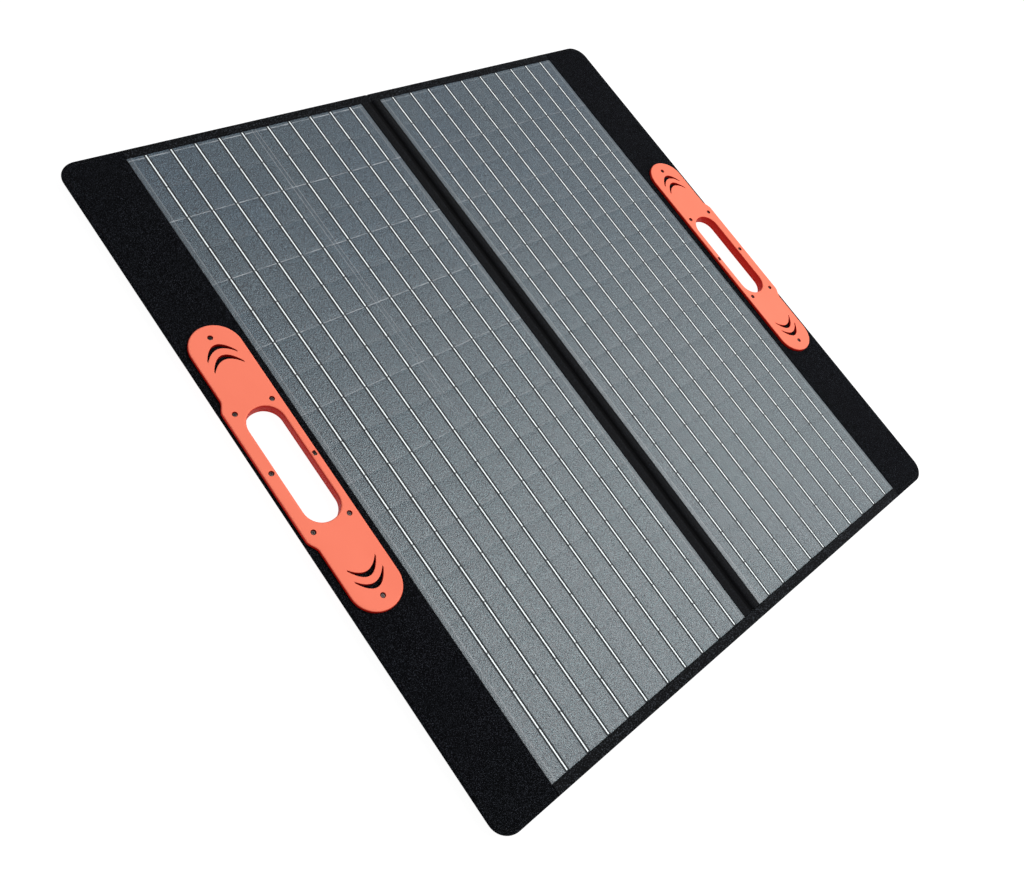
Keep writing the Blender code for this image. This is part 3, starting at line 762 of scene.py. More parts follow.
def moulded_plastic(name, colour, deep, wall_shade, low, high, specular=0.5, grain=1500.0):
    """Moulded plastic with a fine spark-eroded grain and faint flow marks. The upright walls, which
    the light reaches less, take a deeper colour as painted shade."""
    paint = Paint(name, specular=specular)
    flow = paint.noise(14.0, 3.0, 0.55, (1, 0.4, 1))
    fine = paint.noise(grain, 2.0)
    face = paint.mix(paint.rescale(flow, 0.3, 0.75), colour, deep)
    # Painted shade: faces that stand upright, such as the grip's walls, get the darker wall colour.
    upright = paint.math("ABSOLUTE", paint.parts(paint.facing)[2])
    paint.colour(paint.mix(paint.rescale(upright, 0.35, 0.95, 1.0, 0.0), face, wall_shade))
    paint.roughness(paint.noise(60.0, 4.0), low, high)
    paint.bump(fine, 0.00006, 0.45)
    return paint.material


def ribbed_webbing(name, colour, light, pitch=0.0016):
    """Woven tape: ribs across it and a fine twill in them."""
    paint = Paint(name, specular=0.2)
    height = paint.plus(paint.weave(pitch, 0.6), paint.times(paint.noise(900.0), 0.4))
    base = paint.mix(paint.times(paint.weave(pitch, 0.6), 0.5), colour, light)
    paint.colour(paint.mix(paint.rescale(paint.noise(25.0), 0.4, 0.7, 0.0, 0.4), base, light))
    paint.roughness(paint.noise(80.0), 0.65, 0.85)
    paint.bump(height, 0.0004, 0.9)
    return paint.material


def fuzzy_patch(name, colour, light):
    paint = Paint(name, specular=0.15)
    fluff = paint.noise(1300.0, 4.0, 0.7)
    paint.colour(paint.mix(paint.rescale(fluff, 0.4, 0.7), colour, light))
    paint.roughness(fluff, 0.8, 0.98)
    paint.bump(fluff, 0.0006, 1.0)
    return paint.material


def brushed_metal(name, colour, dark, low, high):
    paint = Paint(name, metallic=1.0)
    brushed = paint.noise(260.0, 3.0, 0.6, (8, 1, 1))
    paint.colour(paint.mix(paint.rescale(paint.noise(90.0, 3.0), 0.35, 0.7), colour, dark))
    paint.roughness(brushed, low, high)
    paint.bump(brushed, 0.00003, 0.6)
    return paint.material


def plain_board(name, colour, light):
    """Inner sheet material, with long faint fibres."""
    paint = Paint(name, specular=0.4)
    fibres = paint.noise(180.0, 4.0, 0.6, (1, 0.15, 1))
    paint.colour(paint.mix(paint.rescale(fibres, 0.35, 0.7), colour, light))
    paint.roughness(fibres, 0.5, 0.7)
    paint.bump(fibres, 0.00008, 0.5)
    return paint.material


def silicon_cell():
    """Dark blue cells with the fine fingers that cross the ribbons."""
    paint = Paint("silicon_cell", specular=0.5)
    finger = paint.line(paint.math("PINGPONG", paint.y, 0.0008), 0.0003)
    cloudy = paint.rescale(paint.noise(30.0), 0.3, 0.7)
    base = paint.mix(cloudy, (0.010, 0.016, 0.040), (0.016, 0.026, 0.06))
    paint.colour(paint.mix(paint.times(finger, 0.5), base, (0.35, 0.36, 0.38)))
    paint.roughness(paint.noise(200.0), 0.22, 0.36)
    paint.bump(finger, 0.00003, 0.5)
    return paint.material


def pale_floor():
    paint = Paint("pale_floor", specular=0.2)
    paint.colour(paint.mix(paint.noise(2.0), (0.12, 0.12, 0.12), (0.14, 0.14, 0.14)))
    paint.roughness(paint.noise(4.0), 0.75, 0.85)
    paint.shader.inputs["Emission Color"].default_value = (1.0, 1.0, 1.0, 1.0)
    paint.shader.inputs["Emission Strength"].default_value = 0.95
    return paint.material


CLOTH = oxford_cloth("oxford_cloth", (0.0001, 0.0002, 0.0005), (0.052, 0.058, 0.074), specular=0.04)
# The spine's crease is darkened with painted shade.
SPINE_CLOTH = oxford_cloth("spine_cloth", (0.0001, 0.0002, 0.0006), (0.030, 0.036, 0.050),
                           fleck=0.6, specular=0.09, smooth=0.26, crease=0.0060)
BACK_CLOTH = oxford_cloth("back_cloth", (0.0065, 0.0068, 0.0078), (0.060, 0.062, 0.068), 0.0011, 0.6,
                          specular=0.12)
BINDING = grained_border("grained_binding")
RIBBON = tinned_ribbon()
# The third colour is painted shade on the handle's upright walls.
CORAL = moulded_plastic("coral_plastic", (0.92, 0.216, 0.134), (0.88, 0.198, 0.120),
                        (0.42, 0.006, 0.001), 0.46, 0.60, 0.08)
BLACK_PLASTIC = moulded_plastic("black_plastic", (0.012, 0.012, 0.013), (0.020, 0.020, 0.021),
                                (0.012, 0.012, 0.013), 0.4, 0.6)
THREAD = ribbed_webbing("thread", (0.006, 0.006, 0.007), (0.030, 0.030, 0.032), 0.0004)
BACK_THREAD = ribbed_webbing("back_thread", (0.040, 0.041, 0.044), (0.085, 0.087, 0.092), 0.0004)
WEBBING = ribbed_webbing("webbing", (0.012, 0.012, 0.013), (0.045, 0.045, 0.048))
ZIP_TAPE = ribbed_webbing("zip_tape", (0.010, 0.010, 0.011), (0.035, 0.035, 0.038), 0.0007)
HOOKS = fuzzy_patch("hook_tape", (0.006, 0.006, 0.006), (0.035, 0.035, 0.036))
LOOPS = fuzzy_patch("loop_tape", (0.010, 0.010, 0.011), (0.050, 0.050, 0.052))
STEEL = brushed_metal("screw_steel", (0.090, 0.070, 0.066), (0.045, 0.036, 0.034), 0.34, 0.5)
ZINC = brushed_metal("slider_metal", (0.14, 0.14, 0.15), (0.07, 0.07, 0.075), 0.3, 0.45)
COPPER = brushed_metal("bus_copper", (0.78, 0.42, 0.24), (0.58, 0.28, 0.15), 0.25, 0.4)
BOARD = plain_board("stiffener_board", (0.20, 0.20, 0.18), (0.30, 0.29, 0.27))
BACKSHEET = plain_board("backsheet", (0.55, 0.55, 0.55), (0.66, 0.66, 0.65))
CELLS = silicon_cell()


# ------------------------------------------------------------------- pieces

def turned_edge():
    """Profile of cloth laid over the front, turned round the edge and a little onto the back."""
    middle = (FRONT_Z + BACK_Z) / 2
    profile = [(0.0070, FRONT_Z), (0.0042, FRONT_Z)]
    for i in range(1, 12):
        a = math.pi * i / 12
        profile.append((EDGE_RADIUS * (1 - math.sin(a)) * 1.1, middle + EDGE_RADIUS * math.cos(a)))
    return profile + [(TURN_IN - 0.0002, BACK_Z), (TURN_IN, SKIN_Z), (TURN_IN + 0.0010, SKIN_Z)]


def cut_edge(count):
    """Profile of a plain sewn edge, with as many points as the turned one."""
    points = []
    for i in range(count):
        a = math.pi * i / (count - 1)
        height = (FRONT_Z + SKIN_Z) / 2 + (FRONT_Z - SKIN_Z) / 2 * math.cos(a)
        points.append((0.0004 * (1 - math.sin(a)), height))
    return points


def collar_hole(grow=COLLAR_WALL + GAP):
    """Outline of the grip opening as a hole, grown to clear the collar."""
    return resample(grip_outline(grow), OUTLINE_STEP)[::-1]


def build_flap(bm):
    """Front cloth of the wide outer flap."""
    x_in = FLAP_LOW.x
    outline = resample(half_outline(x_in), OUTLINE_STEP)
    turned = turned_edge()
    outer = rim(outline, turned, cut_edge(len(turned)), lambda x, y: abs(x - x_in) < 0.0001)
    hole = rim(collar_hole(), [(0.0008, FRONT_Z), (0.0, FRONT_Z - 0.0004), (0.0, SKIN_Z)])
    add_plate(bm, [outer, hole], 0.005, flap_lift)


def flap_lift(x, y, edge):
    """Slight waves in the flap's cloth, and a pull along its stitched edge."""
    return ripple(x, y, 0.06, 0.00035) * ease(edge / 0.02) - 0.00011 * bell(edge - 0.0055, 0.0022)


def bound_top(x, y):
    """Front of the bound edge, puffed a little between its two rounded sides."""
    sides = drop(HALF_L - abs(y), EDGE_RADIUS) + drop(abs(y) - BORDER_IN, BORDER_FOLD_R)
    puff = 0.00025 * math.sin(math.pi * (abs(y) - BORDER_IN) / (HALF_L - BORDER_IN))
    return FRONT_Z - sides + puff + ripple(x, y, 0.02, 0.00012)


def bound_stations(end, extra=()):
    """Stations across the bound edge at the top (+1) or bottom (-1), closer over its roundings."""
    ys = stations(BORDER_IN, HALF_L - EDGE_RADIUS, 0.0014, BORDER_FOLD_R) + list(extra)
    ys += [HALF_L - EDGE_RADIUS * (1 - math.sin(math.pi / 2 * i / 8)) for i in range(7, -1, -1)]
    return sorted(end * y for y in set(round(y, 7) for y in ys))


def build_border(end):
    """Bound edge along the laminate's top or bottom."""
    def bottom(_, y):
        inset = HALF_L - abs(y)
        return BACK_Z + drop(inset, EDGE_RADIUS) if inset < TURN_IN else SKIN_Z

    ys = bound_stations(end, (HALF_L - TURN_IN, HALF_L - TURN_IN + 0.00005))
    xs = stations(LAMINATE_IN + GAP, LAMINATE_OUT, 0.004)
    return lambda bm: add_slab(bm, xs, ys, bound_top, bottom)


def build_cover(bm):
    """Back cloth. Its visible face is the lower one."""
    x_in = COVER_LOW.x
    outline = resample(half_outline(x_in, COVER_INSET), 0.008)
    edge = [(0.0016, BACK_Z), (0.0006, BACK_Z + 0.0001), (0.0, BACK_Z + 0.0004), (0.0, COVER_HIGH.z)]
    outer = rim(outline, edge)
    hole = rim(collar_hole(), edge)

    def lift(x, y, distance):
        seam = 0.0003 * bell(distance - 0.006, 0.002)
        return seam + ripple(x, y, 0.05, 0.00012) * ease(distance / 0.02)

    add_plate(bm, [outer, hole], 0.008, lift)


def build_film(side_name):
    """Embossed film with a low ridge over each ribbon and a shallow dip at each row of cells."""
    shift = RIBBON_SHIFT[side_name]
    xs = {FILM_LOW.x, FILM_LOW.x + 0.0004, FILM_HIGH.x - 0.0004, FILM_HIGH.x}
    for x in ribbon_places(shift):
        xs.update(x + RIBBON_W * t for t in (-1.6, -0.6, 0.6, 1.6))
    for edge in (STRING_GAP / 2, STRING_GAP / 2 + CELL_W):
        for sign in (1, -1):
            xs.update(LAMINATE_MID + sign * edge + t for t in (-0.0009, 0.0, 0.0009))
    ys = {FILM_LOW.y, FILM_LOW.y + 0.0004, FILM_HIGH.y - 0.0004, FILM_HIGH.y}
    for row in range(CELL_ROWS + 1):
        ys.update(row * ROW_L - STRING_L / 2 + t for t in (-0.0012, -0.0004, 0.0004, 0.0012))
        ys.update(min(LAMINATE_L / 2, row * ROW_L - STRING_L / 2 + ROW_L * t) for t in (0.25, 0.5, 0.75))
    places = ribbon_places(shift)

    def top(x, y):
        height = FILM_HIGH.z - GAP / 2
        near = min(abs(x - place) for place in places)
        height += FILM_RIDGE * ease(1 - (near - RIBBON_W * 0.6) / RIBBON_W)
        from_row = abs((y + STRING_L / 2 + ROW_L / 2) % ROW_L - ROW_L / 2)
        height -= FILM_DIP * ease(1 - from_row / 0.0012)
        from_mid = abs(x - LAMINATE_MID)
        height -= FILM_DIP * ease((from_mid - STRING_GAP / 2 - CELL_W) / 0.0009)
        height -= FILM_DIP * ease((STRING_GAP / 2 - from_mid) / 0.0009)
        edge = min(x - FILM_LOW.x, FILM_HIGH.x - x, y - FILM_LOW.y, FILM_HIGH.y - y)
        return height - (0.00012 if edge < 0.0001 else 0.0)

    return lambda bm: add_slab(bm, sorted(xs), sorted(ys), top, lambda x, y: FILM_LOW.z)


def ribbon_places(shift):
    """Positions of a half's ten ribbons across it."""
    first = STRING_GAP / 2 + RIBBON_PITCH / 2
    places = []
    for sign in (-1, 1):
        places += [LAMINATE_MID + shift + sign * (first + RIBBON_PITCH * i) for i in range(RIBBON_COUNT)]
    return sorted(places)


def build_ribbons(side_name):
    """Ten bright ribbons, each narrowed and set off slightly where one cell meets the next."""
    chance = random.Random(f"ribbons {side_name}")
    base = FILM_HIGH.z - GAP / 2 + FILM_RIDGE

    def build(bm):
        for place in ribbon_places(RIBBON_SHIFT[side_name]):
            rings = []
            half_l = LAMINATE_L / 2 - 0.0012
            marks = [(-half_l, 1.0, 0)]
            for row in range(1, CELL_ROWS):
                y = row * ROW_L - STRING_L / 2
                marks += [(y - 0.0010, 1.0, row - 1), (y - 0.0004, RIBBON_NECK, row - 1),
                          (y + 0.0004, RIBBON_NECK, row), (y + 0.0010, 1.0, row)]
            marks.append((half_l, 1.0, CELL_ROWS - 1))
            offsets = [chance.uniform(-0.00014, 0.00014) for _ in range(CELL_ROWS)]
            for y, size, row in marks:
                x = place + offsets[row]
                half_w = RIBBON_W / 2 * size
                low = base - FILM_DIP * (1 - size) / (1 - RIBBON_NECK)
                high = low + RIBBON_H * (0.4 + 0.6 * size)
                foot, shoulder = low - 0.00005, low + RIBBON_H * 0.5
                rings.append(((x - half_w, y, foot), (x - half_w, y, shoulder),
                              (x - half_w * 0.6, y, high), (x + half_w * 0.6, y, high),
                              (x + half_w, y, shoulder), (x + half_w, y, foot)))
            add_loft(bm, rings)

    return build


def spine_top(x, y):
    """Front of the spine: two soft rolls with the crease between them."""
    height = FRONT_Z - drop(LAMINATE_IN - GAP - abs(x), SPINE_EDGE)
    height -= CREASE_DEPTH * bell(x - CREASE_X, CREASE_W)
    height += 0.0006 * bell(x - CREASE_X - 0.0070, 0.0030)
    height += 0.0006 * bell(x - CREASE_X + 0.0085, 0.0045)
    return height + ripple(x, y, 0.045, 0.0004) * ease((LAMINATE_IN - abs(x)) / 0.005)


def spine_bottom(x, y):
    return BACK_Z + drop(LAMINATE_IN - GAP - abs(x), SPINE_EDGE) + ripple(x, y + 2.0, 0.05, 0.0002)


def build_spine(bm):
    """Cloth spine between the two laminates."""
    half_l = LAMINATE_L / 2
    xs = stations(-LAMINATE_IN + GAP, LAMINATE_IN - GAP, 0.0009, SPINE_EDGE)
    add_slab(bm, xs, stations(-half_l, half_l, 0.006), spine_top, spine_bottom)


def build_spine_end(end):
    """Binding that carries the border across the fold."""
    def top(x, y):
        return bound_top(x, y) - 0.0011 * bell(x - CREASE_X, 0.0016)

    def bottom(_, y):
        return BACK_Z + drop(HALF_L - abs(y), EDGE_RADIUS)

    xs = stations(-LAMINATE_IN + GAP / 2, LAMINATE_IN - GAP / 2, 0.0009)
    return lambda bm: add_slab(bm, xs, bound_stations(end), top, bottom)


def vent_rims(top, bottom):
    """Rims of the four crescent cut-outs in a handle plate."""
    profile = rounded(top, bottom, VENT_EDGE_R, 3, 0.0003)
    return [rim(crescent(index, end)[::-1], profile) for index in (0, 1) for end in (1, -1)]


def build_handle_front(bm):
    """Front plate. Its grip opening runs on through the flap as a collar."""
    top, bottom = FRONT_HIGH.z, PLATE_BOTTOM
    outer = rim(resample(handle_outline(), OUTLINE_STEP), rounded(top, bottom, PLATE_EDGE_R))
    collar = rounded(top, BACK_Z + 0.0003, PLATE_EDGE_R)
    collar += [(0.0002, BACK_Z), (COLLAR_WALL - 0.0002, BACK_Z), (COLLAR_WALL, BACK_Z + 0.0003),
               (COLLAR_WALL, bottom - 0.0001), (COLLAR_WALL + 0.0001, bottom)]
    rims = [outer, rim(collar_hole(0.0), collar)] + vent_rims(top, bottom)
    for x, y in SCREW_SPOTS:
        recess = rounded(top, top - RECESS_DEPTH, 0.0003, 2, 0.0003)
        recess += [(SHANK_R - SCREW_R, top - RECESS_DEPTH), (SHANK_R - SCREW_R, bottom)]
        rims.append(rim(circle(x, y, SCREW_R + GAP)[::-1], recess))
    add_plate(bm, rims, OUTLINE_STEP)


def build_handle_back(bm):
    """Back plate, with its rounded side down."""
    top, bottom = BACK_LOW.z, BACK_HIGH.z
    profile = rounded(top, bottom, BACK_PLATE_EDGE_R)
    rims = [rim(resample(handle_outline(), OUTLINE_STEP), profile), rim(collar_hole(0.0), profile)]
    add_plate(bm, rims + vent_rims(top, bottom), OUTLINE_STEP)


def build_screw(x, y, number):
    """Pan-head screw with a cross recess, turned to its own angle."""
    low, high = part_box(f"right_handle_screw_{number}")
    # Share of the head's radius, and how far down the head, for each ring.
    recess = ((0.20, 0.75), (0.34, 0.05))
    dome = ((0.72, 0.0), (0.90, 0.12), (1.0, 0.38), (1.0, 1.0))
    levels = [(SCREW_R * share, high.z - SCREW_HEAD_H * down) for share, down in recess + dome]
    levels += [(SHANK_R, high.z - SCREW_HEAD_H), (SHANK_R, low.z + 0.0006), (SHANK_R * 0.6, low.z)]
    own_angle = 0.7 * number
    steps = 32

    def build(bm):
        rings = []
        for level, (radius, z) in enumerate(levels):
            ring = []
            for i in range(steps):
                turn = 2 * math.pi * i / steps
                arm = 0.55 + 1.25 * abs(math.cos(2 * turn)) ** 3 if level < len(recess) else 1.0
                ring.append((x + radius * arm * math.cos(turn + own_angle),
                             y + radius * arm * math.sin(turn + own_angle), z))
            rings.append(ring)
        add_loft(bm, rings)

    return build


def inset_box(low, high, inset, radius):
    """Rounded rectangle this far inside a box. A negative inset is outside it."""
    xs, ys = (low.x + inset, high.x - inset), (low.y + inset, high.y - inset)
    return rounded_rectangle(xs, ys, radius - inset)


def stand_outline(inset=0.0):
    return inset_box(STAND_LOW, STAND_HIGH, inset, STAND_CORNER_R)


def build_stand(bm):
    """Padded kickstand board, with a sewn channel inside its binding."""
    top, bottom = STAND_LOW.z + 0.0012, STAND_HIGH.z - 0.0008
    outer = rim(resample(stand_outline(0.0012), OUTLINE_STEP), pill(top, bottom, 0.0034))

    def lift(x, y, edge):
        channel = 0.0009 * bell(edge - 0.012, 0.0030)
        return channel - 0.0007 * ease((edge - 0.014) / 0.012) + ripple(x, y, 0.05, 0.0003)

    add_plate(bm, [outer], OUTLINE_STEP, lift)


def build_stand_binding(bm):
    """Tape folded round the board's edge."""
    low, high, thick = STAND_LOW.z + 0.0003, STAND_HIGH.z, BINDING_T
    outer = [(BINDING_W, low), (0.0035, low), (0.0012, low + 0.0012), (0.0, low + 0.0038)]
    outer += [(0.0, high - 0.0038), (0.0012, high - 0.0012), (0.0035, high), (BINDING_W, high)]
    inner = [(BINDING_W, high - thick), (0.0038, high - thick), (0.0012 + thick, high - 0.0020)]
    inner += [(thick, high - 0.0042), (thick, low + 0.0042), (0.0012 + thick, low + 0.0020)]
    inner += [(0.0038, low + thick), (BINDING_W, low + thick)]
    add_band(bm, rim(resample(stand_outline(), OUTLINE_STEP), outer + inner))


def build_stand_stitches(bm):
    path = resample(stand_outline(BINDING_W - 0.002), 0.005)
    path.append(path[0])
    add_stitches(bm, path, STAND_LOW.z + 0.0003, rise=-STITCH_RISE)
    add_stitches(bm, path, STAND_HIGH.z)


def build_hinge_tape(bm):
    """Tape sewn to the back of the half and to the top of the stand. It is the stand's hinge."""
    axis_y = TAPE_LOW.y - GAP
    thick = TAPE_HIGH.z - TAPE_LOW.z - 0.0001
    stand_z = STAND_HIGH.z + GAP

    def bottom(_, y):
        return stand_z + (TAPE_HIGH.z - thick - stand_z) * ease((y - axis_y + 0.003) / 0.006)

    xs, ys = stations(TAPE_LOW.x, TAPE_HIGH.x, 0.01), stations(axis_y - 0.022, TAPE_HIGH.y, 0.001)
    add_slab(bm, xs, ys, lambda x, y: bottom(x, y) + thick, bottom)


def build_strap(bm):
    """Limiting strap. Closed, it is folded away in the slot between the stand and the half."""
    y_mid = (STRAP_LOW.y + STRAP_HIGH.y) / 2
    near, far = y_mid - STRAP_T / 2, y_mid + STRAP_T / 2
    low, high = STAND_HIGH.z - 0.0002, STRAP_HIGH.z + 0.0002
    steps = 90
    heights = [high + (low - high) * i / steps for i in range(steps + 1)]
    add_loft(bm, [[(STRAP_LOW.x, near, z), (STRAP_HIGH.x, near, z),
                   (STRAP_HIGH.x, far, z), (STRAP_LOW.x, far, z)] for z in heights])


def build_patch(node, face):
    """A hook or loop patch whose fluffy side is the upper (1) or lower (-1) one."""
    low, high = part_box(node)

    def fluff(x, y, wanted):
        return 0.00012 * noise.noise(Vector((x / 0.0011, y / 0.0011, 5.0))) - 0.0001 if wanted else 0.0

    def top(x, y):
        return high.z + fluff(x, y, face > 0)

    def bottom(x, y):
        return low.z - fluff(x, y, face < 0)

    xs, ys = stations(low.x, high.x, 0.0010), stations(low.y, high.y, 0.0010)
    return lambda bm: add_slab(bm, xs, ys, top, bottom)


def build_pouch(bm):
    """Soft pocket: a bag with rounded sides and a flat sewn hem."""
    outline = resample(inset_box(POUCH_LOW, POUCH_HIGH, 0.0, POUCH_CORNER_R), OUTLINE_STEP)
    face, foot = POUCH_LOW.z, POUCH_HIGH.z
    profile = [(0.012, face), (0.006, face + 0.0002), (0.003, face + 0.0009), (0.0012, face + 0.0022)]
    profile += [(0.0003, face + 0.0040), (0.0, face + 0.0058), (-0.0006, foot - 0.0011)]
    profile += [(-0.0020, foot - 0.0009), (-0.0070, foot - 0.0009), (-0.0073, foot - 0.0004)]
    profile += [(-0.0070, foot), (-0.0006, foot), (0.0010, foot - 0.0006), (0.0013, face + 0.0040)]
    profile += [(0.0040, face + 0.0016), (0.0080, face + 0.0011)]

    def lift(x, y, edge):
        return ripple(x, y, 0.045, 0.0009) * ease(edge / 0.02) - 0.0004 * ease(edge / 0.03)

    add_plate(bm, [rim(outline, profile)], 0.005, lift)


def build_zip(bm):
    """Zip tape with its two rows of teeth."""
    tape_low, tape_high = ZIP_HIGH.z - 0.0006, ZIP_HIGH.z
    middle = (ZIP_LOW.y + ZIP_HIGH.y) / 2
    add_slab(bm, stations(ZIP_LOW.x, ZIP_HIGH.x, 0.004), stations(ZIP_LOW.y, ZIP_HIGH.y, 0.001),
             lambda x, y: tape_high, lambda x, y: tape_low)
    x, row = ZIP_LOW.x + 0.004, 1
    while x < ZIP_HIGH.x - 0.004:
        y_near, y_far = middle - row * 0.0004, middle + row * 0.0019
        y_low, y_high = min(y_near, y_far), max(y_near, y_far)
        add_slab(bm, [x - 0.00055, x - 0.0004, x + 0.0004, x + 0.00055],
                 [y_low, y_low + 0.0003, y_high - 0.0003, y_high],
                 lambda x, y: tape_low + 0.0001, tooth_bottom(x, y_low, y_high, tape_low))
        x += TOOTH_PITCH
        row = -row


def tooth_bottom(x_mid, y_low, y_high, base):
    """Face of one tooth, lower at its edges."""
    def height(x, y):
        edge = abs(x - x_mid) > 0.0005 or min(y - y_low, y_high - y) < 0.0001
        return base - (0.0002 if edge else 0.0005)
    return height


def build_slider(bm):
    """Zip slider: two rounded wings joined by a neck, and a long pull with a hole."""
    low, high = SLIDER_LOW, SLIDER_HIGH
    middle = (low.y + high.y) / 2
    length, width = 0.0105, high.y - low.y
    x0 = low.x
    wing = []
    for x, y in ((0, 0.30), (0.25, 0.36), (0.55, 0.5), (0.85, 0.5), (1, 0.40)):
        wing.append((x0 + length * x, middle - width * y))
    wing += [(x, 2 * middle - y) for x, y in wing[::-1]]
    add_plate(bm, [rim(wing, rounded(low.z + 0.0003, low.z + 0.0010, 0.0003, 3, 0.0002))])
    for side in (1, -1):
        y_edge = middle + side * width / 2
        xs = stations(x0 + length * 0.40, x0 + length * 0.9, 0.002)
        ys = sorted((y_edge, y_edge - side * 0.0009))
        add_slab(bm, xs, ys, lambda x, y: high.z, lambda x, y: low.z + 0.0009)
    pull_in, pull_out, half_w = x0 + length * 0.65, high.x, 0.0024
    pull = rounded_rectangle((pull_in, pull_out), (middle - half_w, middle + half_w), 0.0020, 6)
    hole = circle(pull_out - 0.0042, middle, 0.0011, 16)[::-1]
    profile = rounded(low.z, low.z + 0.0006, 0.0002, 2, 0.0002)
    add_plate(bm, [rim(pull, profile), rim(hole, profile)])


def outer_seam(x_in, inset, step):
    """The half's outline at this inset, without its side at the fold."""
    return [p for p in resample(half_outline(x_in, inset), step) if p[0] > x_in + 0.0005]


def flap_stitches(bm):
    """Seam that holds the turned cloth, just inside the flap's edge."""
    add_stitches(bm, outer_seam(FLAP_LOW.x, 0.0052, 0.004), FRONT_Z - 0.00012)


def border_stitches(bm):
    for end in (1, -1):
        y = end * (LAMINATE_L / 2 + 0.0026)
        add_stitches(bm, [(LAMINATE_IN + 0.002, y), (LAMINATE_OUT - 0.001, y)], FRONT_Z + 0.00008)


def cover_stitches(bm):
    add_stitches(bm, outer_seam(COVER_LOW.x, 0.009, 0.005), BACK_Z + 0.00015, rise=-STITCH_RISE)


def pouch_stitches(bm):
    path = inset_box(POUCH_LOW, POUCH_HIGH, -0.0038, POUCH_CORNER_R)
    add_stitches(bm, resample(path, 0.005) + [path[0]], POUCH_HIGH.z - 0.0009, rise=-STITCH_RISE)
    for y in (ZIP_LOW.y + 0.0022, ZIP_HIGH.y - 0.0022):
        seam = [(ZIP_LOW.x + 0.002, y), (ZIP_HIGH.x - 0.002, y)]
        add_stitches(bm, seam, ZIP_HIGH.z - 0.0006, rise=-0.0002)


def tape_stitches(bm):
    for y in (TAPE_HIGH.y - 0.003, TAPE_HIGH.y - 0.009):
        seam = [(TAPE_LOW.x + 0.003, y), (TAPE_HIGH.x - 0.003, y)]
        add_stitches(bm, seam, TAPE_LOW.z + 0.0001, rise=-0.0002)


def side_maker(name, usual_body):
    """make_piece for one side: it puts the side's name before the names of the piece and nodes."""
    def piece(label, build, material, slot, replaces=(), sharp=HARD_ANGLE, body=usual_body):
        nodes = [f"{name}_{node}" for node in replaces]
        return make_piece(f"{name}_{label}", build, material, slot, body, SIDES[name], nodes, sharp)
    return piece


def make_half(name):
    """All the pieces that ride on one half."""
    piece = side_maker(name, name + "_half")

    film = embossed_film(name + "_embossed_film", RIBBON_SHIFT[name])
    piece("film", build_film(name), film, "front_film", ["front_film"], SOFT_ANGLE)
    piece("ribbons", build_ribbons(name), RIBBON, "solar_cells")

    flap = piece("flap", build_flap, CLOTH, "flap_fabric", ["side_flap"])
    seam = piece("flap_stitches", flap_stitches, THREAD, "flap_fabric", (), SOFT_ANGLE)
    for label, end in (("top", 1), ("bottom", -1)):
        node = "border_" + label
        border = piece("binding_" + label, build_border(end), BINDING, "border_binding", [node])
    piece("binding_stitches", border_stitches, THREAD, "border_binding", (), SOFT_ANGLE)
    cover = piece("back_cloth", build_cover, BACK_CLOTH, "flap_fabric", ["back_cover"])
    seam = piece("back_stitches", cover_stitches, BACK_THREAD, "flap_fabric", (), SOFT_ANGLE)

    piece("handle_front_plate", build_handle_front, CORAL, "handle_plastic", ["handle_front"])
    piece("handle_back_plate", build_handle_back, CORAL, "handle_plastic", ["handle_back"])
    for number, (x, y) in enumerate(SCREW_SPOTS, 1):
        node = f"handle_screw_{number}"
        piece(f"screw_{number}", build_screw(x, y, number), STEEL, "screw_steel", [node])
    patch = build_patch("right_hook_patch", -1)
    piece("hook_tape", patch, HOOKS, "hook_and_loop", ["hook_patch"], SOFT_ANGLE)
    piece("tape_stitches", tape_stitches, BACK_THREAD, "webbing", (), SOFT_ANGLE)


def make_stand(name):
    """The kickstand, and the tape and strap that join it to its half."""
    half, stand = name + "_half", name + "_stand"
    piece = side_maker(name, stand)
    pad = piece("stand_pad", build_stand, BACK_CLOTH, "stand_fabric", ["stand_board"])
    piece("stand_binding", build_stand_binding, WEBBING, "stand_fabric")
    piece("stand_stitches", build_stand_stitches, BACK_THREAD, "stand_fabric", (), SOFT_ANGLE)
    patch = build_patch("right_loop_patch", 1)
    piece("loop_tape", patch, LOOPS, "hook_and_loop", ["loop_patch"], SOFT_ANGLE)

    tape = piece("hinge_tape", build_hinge_tape, WEBBING, "webbing", ["stand_hinge_tape"], body=None)
    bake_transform(tape)
    strap = piece("strap", build_strap, WEBBING, "webbing", ["stand_strap"], body=None)
    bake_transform(strap)


def make_spine():
    """Cloth, binding and bus lead that cross the fold."""
    start, end = (LAMINATE_IN, 0, 0), (-LAMINATE_IN, 0, 0)
    nodes = [f"{name}_spine_{face}" for name in SIDES for face in ("front", "back")]
    spine = make_piece("spine_cloth", build_spine, SPINE_CLOTH, "flap_fabric", None, 1, nodes, SOFT_ANGLE)
    bent = [spine]
    for label, end_sign in (("top", 1), ("bottom", -1)):
        bent.append(make_piece("spine_binding_" + label, build_spine_end(end_sign), BINDING,
                               "border_binding", None, 1, (), SOFT_ANGLE))
    bent.append(make_piece("flexible_bus_lead", build_lead, COPPER, "bus_copper", None, 1,
                           ["right_bus_lead", "left_bus_lead"]))
    for piece in bent:
        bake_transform(piece)
        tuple(start)
        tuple(end)


def build_lead(bm):
    xs = stations(-LEAD_HIGH.x, LEAD_HIGH.x, 0.001)
    add_slab(bm, xs, stations(LEAD_LOW.y, LEAD_HIGH.y, 0.002),
             lambda x, y: LEAD_HIGH.z, lambda x, y: LEAD_LOW.z)


